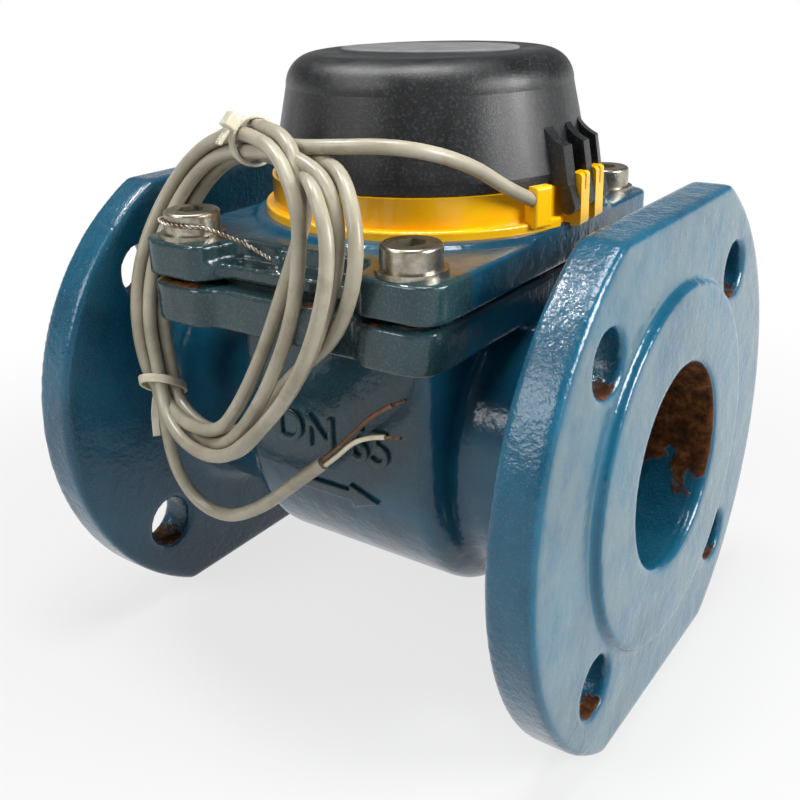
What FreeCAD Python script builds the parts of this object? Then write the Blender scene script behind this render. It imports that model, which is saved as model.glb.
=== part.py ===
"""Woltmann bulk water meter, DN 65, with a removable measuring insert and a dry register.

Millimetres. +Z is up, the pipe runs along +X, and the origin lies under the middle of the meter,
on the flats that the two flanges stand on. Heights below are counted from the pipe axis.
"""
import FreeCAD, Part
import math
import os
from FreeCAD import Matrix, Rotation, Vector

# Fits
PRESS_GAP = 0.02
RUN_GAP = 0.05
SLIDE_GAP = 0.3
THREAD_GAP = 0.05

# Flanges and pipe
FACE_TO_FACE = 200.0
FLANGE_DIA = 185.0
FLANGE_FLATS = 164.0
FLANGE_THICK = 15.0
FLANGE_EDGE = 2.0
RAISED_DIA = 118.0
RAISED_HEIGHT = 3.0
PIPE_BORE = 66.0
NECK_WALL = 12.0
MOUTH_CHAMFER = 1.4
BOLT_CIRCLE = 145.0
BOLT_HOLE = 19.0
NECK_FLANGE_FILLET = 8.0
NECK_CHAMBER_FILLET = 5.0

# Chamber of the body, round below and open above
CHAMBER_RADIUS = 55.0
CHAMBER_START = -37.0
CHAMBER_END = 44.0
CHAMBER_WALL = 8.0
CHAMBER_EDGE = 8.0

# Deck of the body, which carries the cover
DECK_TOP = 58.0
DECK_THICK = 13.5
DECK_END_MARGIN = 12.5
DECK_WAIST_INSET = 3.5
DECK_STEP_RUN = 3.0
DECK_STEP_ROUND = 2.6
DECK_BOSS_ROUND = 6.0

# Cover
COVER_END_MARGIN = 14.5
COVER_WAIST_INSET = 8.0
COVER_THICK = 11.5
COVER_STEP_RUN = 5.0
COVER_STEP_ROUND = 4.5
COVER_BOSS_ROUND = 8.0
CORNER_ROUND = 9.0
LEDGE_DROP = 6.4
PLATEAU_INSET = 7.5
PAD_MARGIN = 3.9
PAD_HEIGHT = 1.8
PAD_EDGE = 1.2
GASKET_THICK = 2.0
GASKET_MARGIN = 3.0
GASKET_ROUND = 3.0
GASKET_WINDOW_ROUND = 2.0

# Cover screws, M12 with a low head
SCREW_PITCH = 85.0
HEAD_RING_GAP = 0.8
SCREW_SIDE_OFFSET = 16.0
SCREW_DIA = 12.0
SCREW_HOLE_GAP = 0.6
SCREW_DEPTH = 11.0
TAP_SPARE = 1.0
HEAD_DIA = 18.0
HEAD_HEIGHT = 7.0
HEAD_EDGE = 1.1
SOCKET_FLATS = 8.0
SOCKET_DEPTH = 4.5
WASHER_MARGIN = 1.5
WASHER_THICK = 1.6
SPOT_FACE_GAP = 0.5
BOSS_RADIUS = 11.5

# Seal wire of the front left screw
WIRE_DIA = 1.6
WIRE_HOLE_GAP = 0.25
WIRE_GAP = 0.15
WIRE_HEIGHT = 4.2
WIRE_STUB = 3.0
LUG_X = -7.0
LUG_INSET = 4.7
LUG_SIZE = 5.0
LUG_HEIGHT = 4.5
LUG_ROUND = 1.2

# Measuring insert
TUBE_WALL = 5.0
INSERT_PLAY = 0.5
SADDLE_WIDTH = 60.0
HEAD_PLATE_PLAY = 1.0
HEAD_PLATE_ROUND = 4.0
SADDLE_INSET = 4.0
HEAD_PLATE_THICK = 10.0
INSERT_SCREW_DIA = 5.0
INSERT_SCREW_HEAD = 8.5
INSERT_SCREW_HEAD_HEIGHT = 3.0
INSERT_SCREW_REACH = 8.0
INSERT_SCREW_INSET = 8.0
INSERT_SLOT_WIDTH = 1.2
INSERT_SLOT_DEPTH = 1.2

# Gear housing with the inlet vanes
HUB_RADIUS = 18.5
HUB_WALL = 1.7
HUB_END = 11.5
NOSE_LENGTH = 14.0
HUB_COVER_THICK = 2.0
FRONT_BUSH_INSET = 11.5
VANE_COUNT = 6
VANE_THICK = 2.0
VANE_INSET = 3.0
VANE_LENGTH = 15.5
VANE_GAP = 0.15
STRUT_RADIUS = 4.0

# Rotor with its shaft and bearings
BLADE_COUNT = 6
BLADE_THICK = 1.8
BLADE_TWIST = 70.0
BLADE_STATIONS = 6
ROTOR_END_GAP = 1.5
ROTOR_HUB_RADIUS = 17.5
ROTOR_TIP_GAP = 0.7
SHAFT_DIA = 3.0
SHAFT_INSET = 1.0
SHAFT_END_GAP = 0.5
BUSH_DIA = 8.0
BUSH_LENGTH = 5.0
FOOT_BUSH_LENGTH = 4.0
FOOT_BUSH_FLOOR = 2.5
FOOT_WALL = 2.0
SPIDER_LENGTH = 5.0
SPIDER_HUB_RADIUS = 12.0
SPIDER_ARMS = 3
SPIDER_ARM_THICK = 3.0

# Worm and worm wheel
GEAR_MODULE = 0.8
WHEEL_TEETH = 15
WORM_PITCH_RADIUS = 3.5
WORM_TURNS = 4
WORM_ADDENDUM = 0.7
WORM_ROOT_DEPTH = 1.0
THREAD_ROOT_HALF = 0.5
THREAD_TIP_HALF = 0.3
WHEEL_WIDTH = 4.0
WHEEL_ADDENDUM = 0.7
WHEEL_DEDENDUM = 1.1
TOOTH_TIP_WIDTH = 0.6
TOOTH_ROOT_WIDTH = 0.9

# Upright shaft, magnets and pressure cup
UPRIGHT_DIA = 3.0
UPRIGHT_FOOT = -9.0
MAGNET_DIA = 20.0
MAGNET_HEIGHT = 5.0
MAGNET_GAP = 3.2
CUP_ROOM = 3.8
CUP_WALL = 1.2
CUP_FLANGE_WIDTH = 5.0
CUP_FLANGE_THICK = 2.0
CUP_TOP_GAP = 0.9
CUP_PLAY = 0.3
CUP_SEAL_OFFSET = 2.5
CUP_SEAL_SECTION = 1.5

# Register can and its window
CAN_RADIUS = 44.0
CAN_WALL = 1.6
CAN_FLOOR = 1.7
CAN_FLANGE_WIDTH = 6.0
CAN_FLANGE_THICK = 2.5
DIAL_ROOM = 4.6
WINDOW_GASKET_THICK = 1.0
WINDOW_GASKET_WIDTH = 3.0
WINDOW_THICK = 4.0
WINDOW_CHAMFER = 0.6
BEZEL_WALL = 1.2
BEZEL_SKIRT = 6.0
BEZEL_LIP = 3.0

# Register works
WORKS_PLAY = 0.4
FRAME_GAP = 2.0
FRAME_PLATE = 1.5
BRIDGE_INSET = 6.0
BRIDGE_GAP = 3.5
BRIDGE_DRUM_GAP = 3.2
FRAME_POST_RADIUS = 2.2
POST_INSET = 8.0
DIAL_GAP = 4.4
DIAL_THICK = 1.0
ARBOR_DIA = 1.8
FOLLOWER_LIFT = 1.0
FOLLOWER_HEIGHT = 3.5
COUNTER_MODULE = 0.8
PINION_TEETH = 12
COUNTER_WHEEL_TEETH = 36
COUNTER_GEAR_WIDTH = 2.0
COUNTER_TOOTH_SHARE = 0.30
FIRST_WHEEL_ANGLE = 215.0
SECOND_WHEEL_ANGLE = -17.0
FIRST_GEAR_GAP = 2.0
SECOND_GEAR_GAP = 1.0
POINTER_LIFT = 1.0
POINTER_THICK = 0.8
POINTER_LENGTH = 8.0
POINTER_TAIL = 3.0
POINTER_TURN = 60.0
STAR_RADIUS = 5.0
STAR_POINTS = 8
STAR_WAIST = 3.0
DRUM_COUNT = 6
DRUM_RADIUS = 7.2
DRUM_WIDTH = 5.4
DRUM_PITCH = 6.0
DRUM_AXLE_DIA = 3.0
DRUM_DIAL_GAP = 0.7
DRUM_WELL_GAP = 0.6
DRUM_OFFSET = 17.0
DIAL_SLOT_HALF = 3.6
BRACKET_THICK = 1.5
BRACKET_HALF_DEPTH = 6.0

# Retaining ring, lid and hinge
REGISTER_X = 1.4
REGISTER_TURN = 2.7
RING_ROOM = 2.2
RING_WALL = 2.6
RING_HEIGHT = 12.5
LIP_REACH = 2.8
LIP_HEIGHT = 3.0
LIP_EDGE = 0.8
CLAMP_OVERHANG = 2.0
CLAMP_THICK = 2.0
CLAMP_PLAY = 0.1
LID_GAP = 0.3
LID_SIDE_ROOM = 2.0
LID_INSET = 0.3
LID_TAPER = 6.0
LID_HEIGHT = 39.0
LID_TOP_ROUND = 10.3
LID_WALL = 2.4
LID_REBATE = 1.0
LID_REBATE_HEIGHT = 3.4
PIN_DIA = 2.4
KNUCKLE_RADIUS = 2.5
KNUCKLE_PLAY = 0.35
PIN_LIFT = 6.2
FIN_PITCH = 11.8
FIN_THICK = 4.5
FIN_COUNT = 3
FIN_BASE_REACH = 4.7
FIN_SHOULDER_REACH = 2.8
FIN_SHOULDER_LIFT = 12.1
FIN_TOP_LIFT = 19.1
TAB_REACH = 5.5
TAB_BOW = 1.2
TAB_RISE = 3.4
TAB_DROP = 0.8
TAB_EDGE_GAP = 1.0
TAB_SLOT = 1.2
TAB_SLOT_DEPTH = 1.0
TAB_SLOT_LENGTH = 5.5
LIP_GAP_HALF = 14.6

# Cable exit, cable and cores
EXIT_ANGLE = -24.4
EXIT_WIDTH = 6.6
EXIT_DEPTH = 5.0
EXIT_REACH = 2.7
EXIT_EDGE = 1.0
EXIT_LIFT = 8.4
EXIT_RISE = 1.8
EXIT_TILT = 25.0
EXIT_INSET = 1.2
EXIT_RUN = 9.5
CABLE_DIA = 4.4
CABLE_HOLE_GAP = 0.1
CORE_DIA = 1.5
CORE_SPACING = 1.8
CORE_RUN = 7.0
STRAND_DIA = 0.9
STRAND_LENGTH = 6.0
SENSOR_SIZE = (6.0, 13.0, 7.0)
SENSOR_PLAY = 0.4
TIE_THICK = 1.1
TIE_WIDTH = 2.8
TIE_GAP = 0.1
TIE_HEAD = 5.0
TIE_HEAD_RISE = 4.5
TIE_TAIL = 9.5
TIE_TAIL_LIFT = 1.5

# Heights from the pipe axis, and places that follow from the sizes above
AXIS_HEIGHT = FLANGE_FLATS / 2
FACE_X = FACE_TO_FACE / 2
FLANGE_X = FACE_X - RAISED_HEIGHT
FLANGE_BACK = FLANGE_X - FLANGE_THICK
BORE_RADIUS = PIPE_BORE / 2
CAVITY_RADIUS = CHAMBER_RADIUS - CHAMBER_WALL
CAVITY_START = CHAMBER_START + CHAMBER_WALL
CAVITY_END = CHAMBER_END - CHAMBER_WALL
NECK_DIA = PIPE_BORE + 2 * NECK_WALL
DECK_BASE = DECK_TOP - DECK_THICK
WHEEL_PITCH_RADIUS = GEAR_MODULE * WHEEL_TEETH / 2
REGISTER_Y = WORM_PITCH_RADIUS + WHEEL_PITCH_RADIUS
CAN_FLANGE_DIA = 2 * (CAN_RADIUS + CAN_FLANGE_WIDTH)
RING_RADIUS = CAN_FLANGE_DIA / 2 + RING_ROOM + RING_WALL
LIP_RADIUS = RING_RADIUS + LIP_REACH
SCREW_PITCH_Y = 2 * (CAVITY_RADIUS + SCREW_SIDE_OFFSET)
HEAD_CLEARANCE = LIP_RADIUS + HEAD_RING_GAP + HEAD_DIA / 2
HEAD_REACH = math.sqrt(max(0.0, HEAD_CLEARANCE ** 2 - (SCREW_PITCH_Y / 2 - REGISTER_Y) ** 2))
SCREW_PITCH_X = max(SCREW_PITCH, 2 * (REGISTER_X + HEAD_REACH))
SCREW_HOLE = SCREW_DIA + 2 * SCREW_HOLE_GAP
WASHER_DIA = HEAD_DIA + 2 * WASHER_MARGIN
WIRE_HOLE = WIRE_DIA + 2 * WIRE_HOLE_GAP
COVER_LENGTH = SCREW_PITCH_X + 2 * COVER_END_MARGIN
COVER_WIDTH = SCREW_PITCH_Y + 2 * BOSS_RADIUS
COVER_WAIST = COVER_WIDTH - 2 * COVER_WAIST_INSET
PLATEAU_WIDTH = COVER_WAIST - 2 * PLATEAU_INSET
DECK_LENGTH = SCREW_PITCH_X + 2 * DECK_END_MARGIN
DECK_WAIST = COVER_WIDTH - 2 * DECK_WAIST_INSET
LUG_Y = LUG_INSET - COVER_WAIST / 2
INSERT_START = CAVITY_START + INSERT_PLAY
INSERT_END = CAVITY_END - INSERT_PLAY
HEAD_PLATE_WIDTH = 2 * (CAVITY_RADIUS - HEAD_PLATE_PLAY)
ROTOR_START = HUB_END + ROTOR_END_GAP
ROTOR_END = INSERT_END - SPIDER_LENGTH - ROTOR_END_GAP
COVER_BASE = DECK_TOP + GASKET_THICK
COVER_TOP = COVER_BASE + COVER_THICK
PAD_TOP = COVER_TOP + PAD_HEIGHT
HEAD_PLATE_BASE = COVER_BASE - HEAD_PLATE_THICK
CUP_RADIUS = MAGNET_DIA / 2 + CUP_ROOM + CUP_WALL
CUP_FLANGE_DIA = 2 * (CUP_RADIUS + CUP_FLANGE_WIDTH)
CUP_SEAL_DIA = 2 * (CUP_RADIUS + CUP_SEAL_OFFSET)
CUP_TOP = PAD_TOP - CUP_TOP_GAP
CLAMP_RADIUS = CAN_RADIUS + CLAMP_OVERHANG
WORKS_RADIUS = CAN_RADIUS - CAN_WALL - WORKS_PLAY
FRAME_LIFT = FOLLOWER_LIFT + FOLLOWER_HEIGHT + FRAME_GAP
FIRST_GEAR_LIFT = FRAME_LIFT + FRAME_PLATE + FIRST_GEAR_GAP
SECOND_GEAR_LIFT = FIRST_GEAR_LIFT + COUNTER_GEAR_WIDTH + SECOND_GEAR_GAP
BRIDGE_LIFT = SECOND_GEAR_LIFT + COUNTER_GEAR_WIDTH + BRIDGE_GAP
DIAL_LIFT = BRIDGE_LIFT + FRAME_PLATE + DIAL_GAP
DRUM_LIFT = DIAL_LIFT - DRUM_DIAL_GAP - DRUM_RADIUS
CAN_INSIDE = PAD_TOP + CAN_FLOOR
CAN_TOP = CAN_INSIDE + DIAL_LIFT + DIAL_ROOM
PAD_DIA = 2 * (LIP_RADIUS + PAD_MARGIN)
LID_RADIUS = RING_RADIUS - LID_INSET
LID_TOP_RADIUS = LID_RADIUS - LID_TAPER
FIN_BASE_RADIUS = LID_RADIUS + FIN_BASE_REACH
FIN_SHOULDER_RADIUS = LID_RADIUS + FIN_SHOULDER_REACH
TAB_RADIUS = RING_RADIUS + TAB_REACH
EXIT_RADIUS = RING_RADIUS + EXIT_REACH
RING_TOP = PAD_TOP + RING_HEIGHT
LID_BASE = RING_TOP + LID_GAP
LID_TOP = LID_BASE + LID_HEIGHT
PIN_R = RING_RADIUS + KNUCKLE_PLAY + KNUCKLE_RADIUS
PIN_Z = PAD_TOP + PIN_LIFT
TAB_TOP = RING_TOP + TAB_RISE
DIAL_BASE = CAN_INSIDE + DIAL_LIFT
DIAL_TOP = DIAL_BASE + DIAL_THICK
COUNTER_DISTANCE = COUNTER_MODULE * (PINION_TEETH + COUNTER_WHEEL_TEETH) / 2

# Cable routes, chosen by hand, in the same frame
LEAD_ROUTE = [
    (50.0, -26.0, 89.8),
    (47.0, -36.5, 96.6),
    (42.5, -50.5, 102.5),
    (33.0, -60.0, 105.2),
    (19.0, -64.5, 104.6),
    (4.0, -64.0, 103.4),
    (-9.0, -61.2, 103.3),
]
TAIL_ROUTE = [
    (-60.6, -67.2, 15.0),
    (-58.8, -69.0, 3.0),
    (-54.5, -70.5, -12.0),
    (-44.5, -71.2, -22.0),
    (-30.0, -71.5, -23.6),
    (-14.5, -71.5, -15.5),
    (0.0, -71.2, -3.0),
    (13.3, -70.6, 8.4),
]
WHITE_ROUTE = [
    (26.4, -72.4, 19.4),
    (33.4, -72.0, 22.8),
    (37.6, -71.4, 23.4),
]
BROWN_ROUTE = [
    (25.4, -69.6, 21.6),
    (32.4, -69.0, 29.0),
    (39.0, -69.2, 33.0),
]

# Coil of the cable: middle of the bundle, its half width along the fan and its half depth
COIL_STATIONS = [
    ((-20.0, -58.6, 103.0), 6.0, 6.0),
    ((-12.0, -61.4, 103.6), 6.0, 6.0),
    ((6.0, -69.0, 101.6), 8.0, 6.0),
    ((20.0, -76.2, 94.0), 11.0, 5.0),
    ((26.5, -79.6, 80.0), 16.5, 4.4),
    ((16.6, -80.2, 59.4), 14.0, 4.8),
    ((5.0, -80.2, 39.7), 11.5, 5.6),
    ((-6.9, -80.0, 23.7), 9.2, 5.8),
    ((-19.0, -79.0, 9.5), 8.0, 5.6),
    ((-36.0, -76.0, 5.6), 7.0, 6.0),
    ((-51.0, -71.5, 8.6), 6.2, 6.0),
    ((-58.5, -68.2, 13.8), 6.0, 6.0),
    ((-61.5, -66.4, 21.0), 6.0, 6.0),
    ((-66.5, -64.8, 40.0), 6.4, 6.0),
    ((-67.0, -58.5, 61.0), 6.4, 6.0),
    ((-60.5, -48.5, 82.0), 6.4, 6.0),
    ((-42.0, -50.5, 97.0), 6.2, 6.0),
]
UPPER_TIE_SPAN = (0, 1)
LOWER_TIE_SPAN = (11, 12)


def cylinder_x(radius, x0, x1, y=0.0, z=0.0):
    return Part.makeCylinder(radius, x1 - x0, Vector(x0, y, z), Vector(1, 0, 0))


def cylinder_z(radius, z0, z1, x=0.0, y=0.0):
    return Part.makeCylinder(radius, z1 - z0, Vector(x, y, z0), Vector(0, 0, 1))


def ring_z(inner, outer, z0, z1, x=0.0, y=0.0):
    return cylinder_z(outer, z0, z1, x, y).cut(cylinder_z(inner, z0 - 1, z1 + 1, x, y))


def block(x0, x1, y0, y1, z0, z1):
    return Part.makeBox(x1 - x0, y1 - y0, z1 - z0, Vector(x0, y0, z0))


def joined(shapes):
    return shapes[0].multiFuse(shapes[1:]).removeSplitter()


def rounded_wire(points, radii):
    """Closed outline in the XY plane with each corner rounded by its own radius."""
    corners = [Vector(x, y, 0) for x, y in points]
    count = len(corners)
    edges = []
    ends = []
    for i, corner in enumerate(corners):
        to_last = (corners[i - 1] - corner).normalize()
        to_next = (corners[(i + 1) % count] - corner).normalize()
        half = to_last.getAngle(to_next) / 2
        reach = radii[i] / math.tan(half)
        start = corner + to_last * reach
        stop = corner + to_next * reach
        bisector = (to_last + to_next).normalize()
        middle = corner + bisector * (radii[i] / math.sin(half) - radii[i])
        ends.append((start, middle, stop))
    for i in range(count):
        start, middle, stop = ends[i]
        edges.append(Part.Arc(start, middle, stop).toShape())
        edges.append(Part.LineSegment(stop, ends[(i + 1) % count][0]).toShape())
    return Part.Wire(edges)


def prism_z(wire, z0, z1):
    face = Part.Face(wire)
    face.translate(Vector(0, 0, z0))
    return face.extrude(Vector(0, 0, z1 - z0))


def turned(points, axis):
    """Solid of revolution from (radius, height) points; a point with four numbers ends an arc."""
    def lift(radius, height):
        return Vector(radius, 0, height) if axis.z else Vector(height, 0, radius)

    edges = []
    last = lift(*points[0][-2:])
    for point in points[1:] + points[:1]:
        end = lift(*point[-2:])
        if len(point) == 4:
            edges.append(Part.Arc(last, lift(*point[:2]), end).toShape())
        elif last.distanceToPoint(end) > 1e-9:
            edges.append(Part.LineSegment(last, end).toShape())
        last = end
    return Part.Face(Part.Wire(edges)).revolve(Vector(0, 0, 0), axis, 360)


def spun(shape, angle, centre=Vector(0, 0, 0), axis=Vector(0, 0, 1)):
    copy = shape.copy()
    copy.rotate(centre, axis, angle)
    return copy


def moved(shape, x, y, z=0.0):
    copy = shape.copy()
    copy.translate(Vector(x, y, z))
    return copy


def at_register(shape):
    """From the register's own frame, axis at the origin and hinge on +X, to its place on the cover."""
    return moved(spun(shape, REGISTER_TURN), REGISTER_X, REGISTER_Y)


def screw_places():
    return [(sx * SCREW_PITCH_X / 2, sy * SCREW_PITCH_Y / 2) for sx in (-1, 1) for sy in (-1, 1)]


def plate_outline(length, width, waist, step_run, step_round, boss_round):
    """Outline of the cover or the deck: four corner bosses with a set-back edge between them."""
    a = length / 2
    b = width / 2
    w = waist / 2
    inner = SCREW_PITCH_X / 2 - BOSS_RADIUS
    quarter = [(inner - step_run, w), (inner, b), (a, b)]
    radii = [step_round, boss_round, CORNER_ROUND]
    right = [(x, -y) for x, y in quarter] + [(x, y) for x, y in reversed(quarter)]
    left = [(-x, y) for x, y in reversed(right)]
    side_radii = radii + radii[::-1]
    return rounded_wire(right + left, side_radii + side_radii)


def flange_plate():
    radius = FLANGE_DIA / 2
    half = FLANGE_FLATS / 2
    chord = math.sqrt(radius ** 2 - half ** 2)
    corners = [Vector(0, y, z) for y, z in ((-chord, half), (chord, half), (chord, -half), (-chord, -half))]
    edges = [
        Part.LineSegment(corners[0], corners[1]).toShape(),
        Part.Arc(corners[1], Vector(0, radius, 0), corners[2]).toShape(),
        Part.LineSegment(corners[2], corners[3]).toShape(),
        Part.Arc(corners[3], Vector(0, -radius, 0), corners[0]).toShape(),
    ]
    plate = Part.Face(Part.Wire(edges)).extrude(Vector(FLANGE_THICK, 0, 0))
    rims = [edge for edge in plate.Edges if edge.BoundBox.XLength < 1e-6]
    return plate.makeFillet(FLANGE_EDGE, rims)


def neck(flange_x, chamber_x):
    """Round neck between the chamber and a flange, with a hollow fillet at each end."""
    side = 1 if flange_x > chamber_x else -1
    radius = NECK_DIA / 2
    f = NECK_FLANGE_FILLET
    c = NECK_CHAMBER_FILLET
    bend = 1 - math.sqrt(0.5)
    points = [
        (0, flange_x),
        (radius + f, flange_x),
        (radius + f * bend, flange_x - side * f * bend, radius, flange_x - side * f),
        (radius, chamber_x + side * c),
        (radius + c * bend, chamber_x + side * c * bend, radius + c, chamber_x),
        (radius + c, chamber_x - side * c),
        (0, chamber_x - side * c),
    ]
    return turned(points, Vector(1, 0, 0))


def chamber_shape(radius, x0, x1, top):
    edges = [
        Part.LineSegment(Vector(x0, -radius, top), Vector(x0, -radius, 0)).toShape(),
        Part.Arc(Vector(x0, -radius, 0), Vector(x0, 0, -radius), Vector(x0, radius, 0)).toShape(),
        Part.LineSegment(Vector(x0, radius, 0), Vector(x0, radius, top)).toShape(),
        Part.LineSegment(Vector(x0, radius, top), Vector(x0, -radius, top)).toShape(),
    ]
    return Part.Face(Part.Wire(edges)).extrude(Vector(x1 - x0, 0, 0))


def bolt_places():
    reach = BOLT_CIRCLE / 2 * math.sqrt(0.5)
    return [(sy * reach, sz * reach) for sy in (-1, 1) for sz in (-1, 1)]


def flange(side):
    """One pipe flange with its raised face, bore and four bolt holes."""
    face = sorted((side * FLANGE_X, side * FACE_X))
    plate = sorted((side * FLANGE_BACK, side * FLANGE_X))
    shape = joined([moved(flange_plate(), plate[0], 0), cylinder_x(RAISED_DIA / 2, face[0], face[1])])
    mouth = Part.makeCone(BORE_RADIUS + MOUTH_CHAMFER, BORE_RADIUS, MOUTH_CHAMFER,
                          Vector(side * FACE_X, 0, 0), Vector(-side, 0, 0))
    tools = [cylinder_x(BORE_RADIUS, plate[0] - FACE_X, plate[1] + FACE_X), mouth]
    for y, z in bolt_places():
        tools.append(cylinder_x(BOLT_HOLE / 2, plate[0] - 1, plate[1] + 1, y, z))
    for tool in tools:
        shape = shape.cut(tool)
    return shape


def inlet_flange():
    return flange(-1)


def outlet_flange():
    return flange(1)


def cavity():
    return chamber_shape(CAVITY_RADIUS, CAVITY_START, CAVITY_END, DECK_TOP + 1)


def deck_blank():
    outline = plate_outline(DECK_LENGTH, COVER_WIDTH, DECK_WAIST, DECK_STEP_RUN, DECK_STEP_ROUND,
                            DECK_BOSS_ROUND)
    return prism_z(outline, DECK_BASE, DECK_TOP)


def body_deck():
    """The casting's upper flange, which the cover is screwed down to."""
    deck = deck_blank().cut(cavity())
    tap_end = DECK_TOP - SCREW_DEPTH - TAP_SPARE
    for x, y in screw_places():
        deck = deck.cut(cylinder_z(SCREW_DIA / 2 + THREAD_GAP, tap_end, DECK_TOP + 1, x, y))
    return deck


def meter_body():
    """The casting between its two pipe flanges and under its deck."""
    chamber = chamber_shape(CHAMBER_RADIUS, CHAMBER_START, CHAMBER_END, DECK_BASE)
    ends = [e for e in chamber.Edges if e.BoundBox.XLength < 1e-6 and e.BoundBox.ZMin < DECK_BASE - 1]
    chamber = chamber.makeFillet(CHAMBER_EDGE, ends)
    body = joined([chamber, neck(FLANGE_BACK, CHAMBER_END), neck(-FLANGE_BACK, CHAMBER_START)])
    for tool in (deck_blank(), cylinder_x(BORE_RADIUS, -FACE_X, FACE_X), cavity()):
        body = body.cut(tool)
    return body


def insert_screw_places():
    x0 = INSERT_START + INSERT_SCREW_INSET
    x1 = INSERT_END - INSERT_SCREW_INSET
    y = HEAD_PLATE_WIDTH / 2 - INSERT_SCREW_INSET
    return [(x, s * y) for x in (x0, x1) for s in (-1, 1)]


def ledge_top():
    return COVER_TOP - LEDGE_DROP


def seal_lug():
    half = LUG_SIZE / 2
    base = ledge_top()
    lug = block(LUG_X - half, LUG_X + half, LUG_Y - half, LUG_Y + half, base - 1, base + LUG_HEIGHT)
    uprights = [e for e in lug.Edges if e.BoundBox.ZLength > 1]
    return lug.makeFillet(LUG_ROUND, uprights)


def cover_plate():
    outline = plate_outline(COVER_LENGTH, COVER_WIDTH, COVER_WAIST, COVER_STEP_RUN, COVER_STEP_ROUND,
                            COVER_BOSS_ROUND)
    plate = prism_z(outline, COVER_BASE, COVER_TOP)
    inner = SCREW_PITCH_X / 2 - BOSS_RADIUS
    edge = COVER_WIDTH / 2
    for side in (-1, 1):
        ledge = [(-inner, side * (edge + 2)), (-inner + COVER_STEP_RUN, side * PLATEAU_WIDTH / 2),
                 (inner - COVER_STEP_RUN, side * PLATEAU_WIDTH / 2), (inner, side * (edge + 2))]
        cutter = prism_z(rounded_wire(ledge, [0.5, COVER_STEP_ROUND, COVER_STEP_ROUND, 0.5]),
                         ledge_top(), COVER_TOP + 1)
        plate = plate.cut(cutter)
    pad = cylinder_z(PAD_DIA / 2, COVER_TOP - COVER_THICK / 2, PAD_TOP, REGISTER_X, REGISTER_Y)
    crown = [e for e in pad.Edges if e.BoundBox.ZMin > PAD_TOP - 1e-6]
    pad = pad.makeFillet(PAD_EDGE, crown).common(prism_z(outline, COVER_BASE, PAD_TOP))
    cover = joined([plate, pad, seal_lug()])
    seat = COVER_BASE + CUP_FLANGE_THICK
    groove = CUP_SEAL_SECTION / 2 + CUP_PLAY
    seal = CUP_SEAL_DIA / 2
    tools = [
        cylinder_z(CUP_RADIUS + CUP_PLAY, COVER_BASE - 1, PAD_TOP + 1, REGISTER_X, REGISTER_Y),
        cylinder_z(CUP_FLANGE_DIA / 2 + CUP_PLAY, COVER_BASE - 1, seat, REGISTER_X, REGISTER_Y),
        ring_z(seal - groove, seal + groove, seat, seat + CUP_SEAL_SECTION, REGISTER_X, REGISTER_Y),
        cylinder_x(WIRE_HOLE / 2, LUG_X - LUG_SIZE, LUG_X + LUG_SIZE, LUG_Y, ledge_top() + LUG_HEIGHT / 2),
    ]
    for x, y in screw_places():
        tools.append(cylinder_z(WASHER_DIA / 2 + SPOT_FACE_GAP, COVER_TOP, PAD_TOP + 1, x, y))
        tools.append(cylinder_z(SCREW_HOLE / 2, COVER_BASE - 1, PAD_TOP + 1, x, y))
    for x, y in insert_screw_places():
        tools.append(cylinder_z(INSERT_SCREW_DIA / 2 + THREAD_GAP, COVER_BASE - 1,
                                COVER_BASE + INSERT_SCREW_REACH + TAP_SPARE, x, y))
    for tool in tools:
        cover = cover.cut(tool)
    return cover


def cover_gasket():
    """Flat gasket that stays clear of the four screws, so a gap shows at each corner boss."""
    a = DECK_LENGTH / 2 - GASKET_MARGIN
    w = COVER_WAIST / 2 - GASKET_MARGIN
    x_cut = SCREW_PITCH_X / 2 - BOSS_RADIUS - GASKET_MARGIN
    y_cut = SCREW_PITCH_Y / 2 - BOSS_RADIUS * 2 + GASKET_MARGIN
    right = [(x_cut, -w), (a, -y_cut), (a, y_cut), (x_cut, w)]
    corners = right + [(-x, -y) for x, y in right]
    sheet = prism_z(rounded_wire(corners, [GASKET_ROUND] * len(corners)), DECK_TOP, COVER_BASE)
    x0 = CAVITY_START
    x1 = CAVITY_END
    y = CAVITY_RADIUS
    window = rounded_wire([(x0, -y), (x1, -y), (x1, y), (x0, y)], [GASKET_WINDOW_ROUND] * 4)
    return sheet.cut(prism_z(window, DECK_TOP - 1, COVER_BASE + 1))


def hexagon(flats, z0, z1):
    radius = flats / math.sqrt(3)
    points = [Vector(radius * math.cos(math.radians(60 * i)), radius * math.sin(math.radians(60 * i)), z0)
              for i in range(7)]
    return Part.Face(Part.makePolygon(points)).extrude(Vector(0, 0, z1 - z0))


def head_base():
    return COVER_TOP + WASHER_THICK


def cover_screw():
    base = head_base()
    head = cylinder_z(HEAD_DIA / 2, base, base + HEAD_HEIGHT)
    head = head.makeFillet(HEAD_EDGE, [e for e in head.Edges if e.BoundBox.ZMin > base + HEAD_HEIGHT - 1e-6])
    shank = cylinder_z(SCREW_DIA / 2, DECK_TOP - SCREW_DEPTH, base + 1)
    socket = hexagon(SOCKET_FLATS, base + HEAD_HEIGHT - SOCKET_DEPTH, base + HEAD_HEIGHT + 1)
    return joined([head, shank]).cut(socket)


def wire_angles():
    """Directions, seen from above, where the seal wire leaves the drilled head and where it turns away."""
    return math.radians(-150), math.radians(-20)


def cover_screws():
    solids = []
    for x, y in screw_places():
        screw = moved(cover_screw(), x, y)
        if x < 0 and y < 0:
            angle = wire_angles()[0]
            direction = Vector(math.cos(angle), math.sin(angle), 0)
            middle = Vector(x, y, head_base() + WIRE_HEIGHT)
            screw = screw.cut(Part.makeCylinder(WIRE_HOLE / 2, HEAD_DIA, middle, direction))
        solids.append(screw)
    return Part.Compound(solids)


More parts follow.
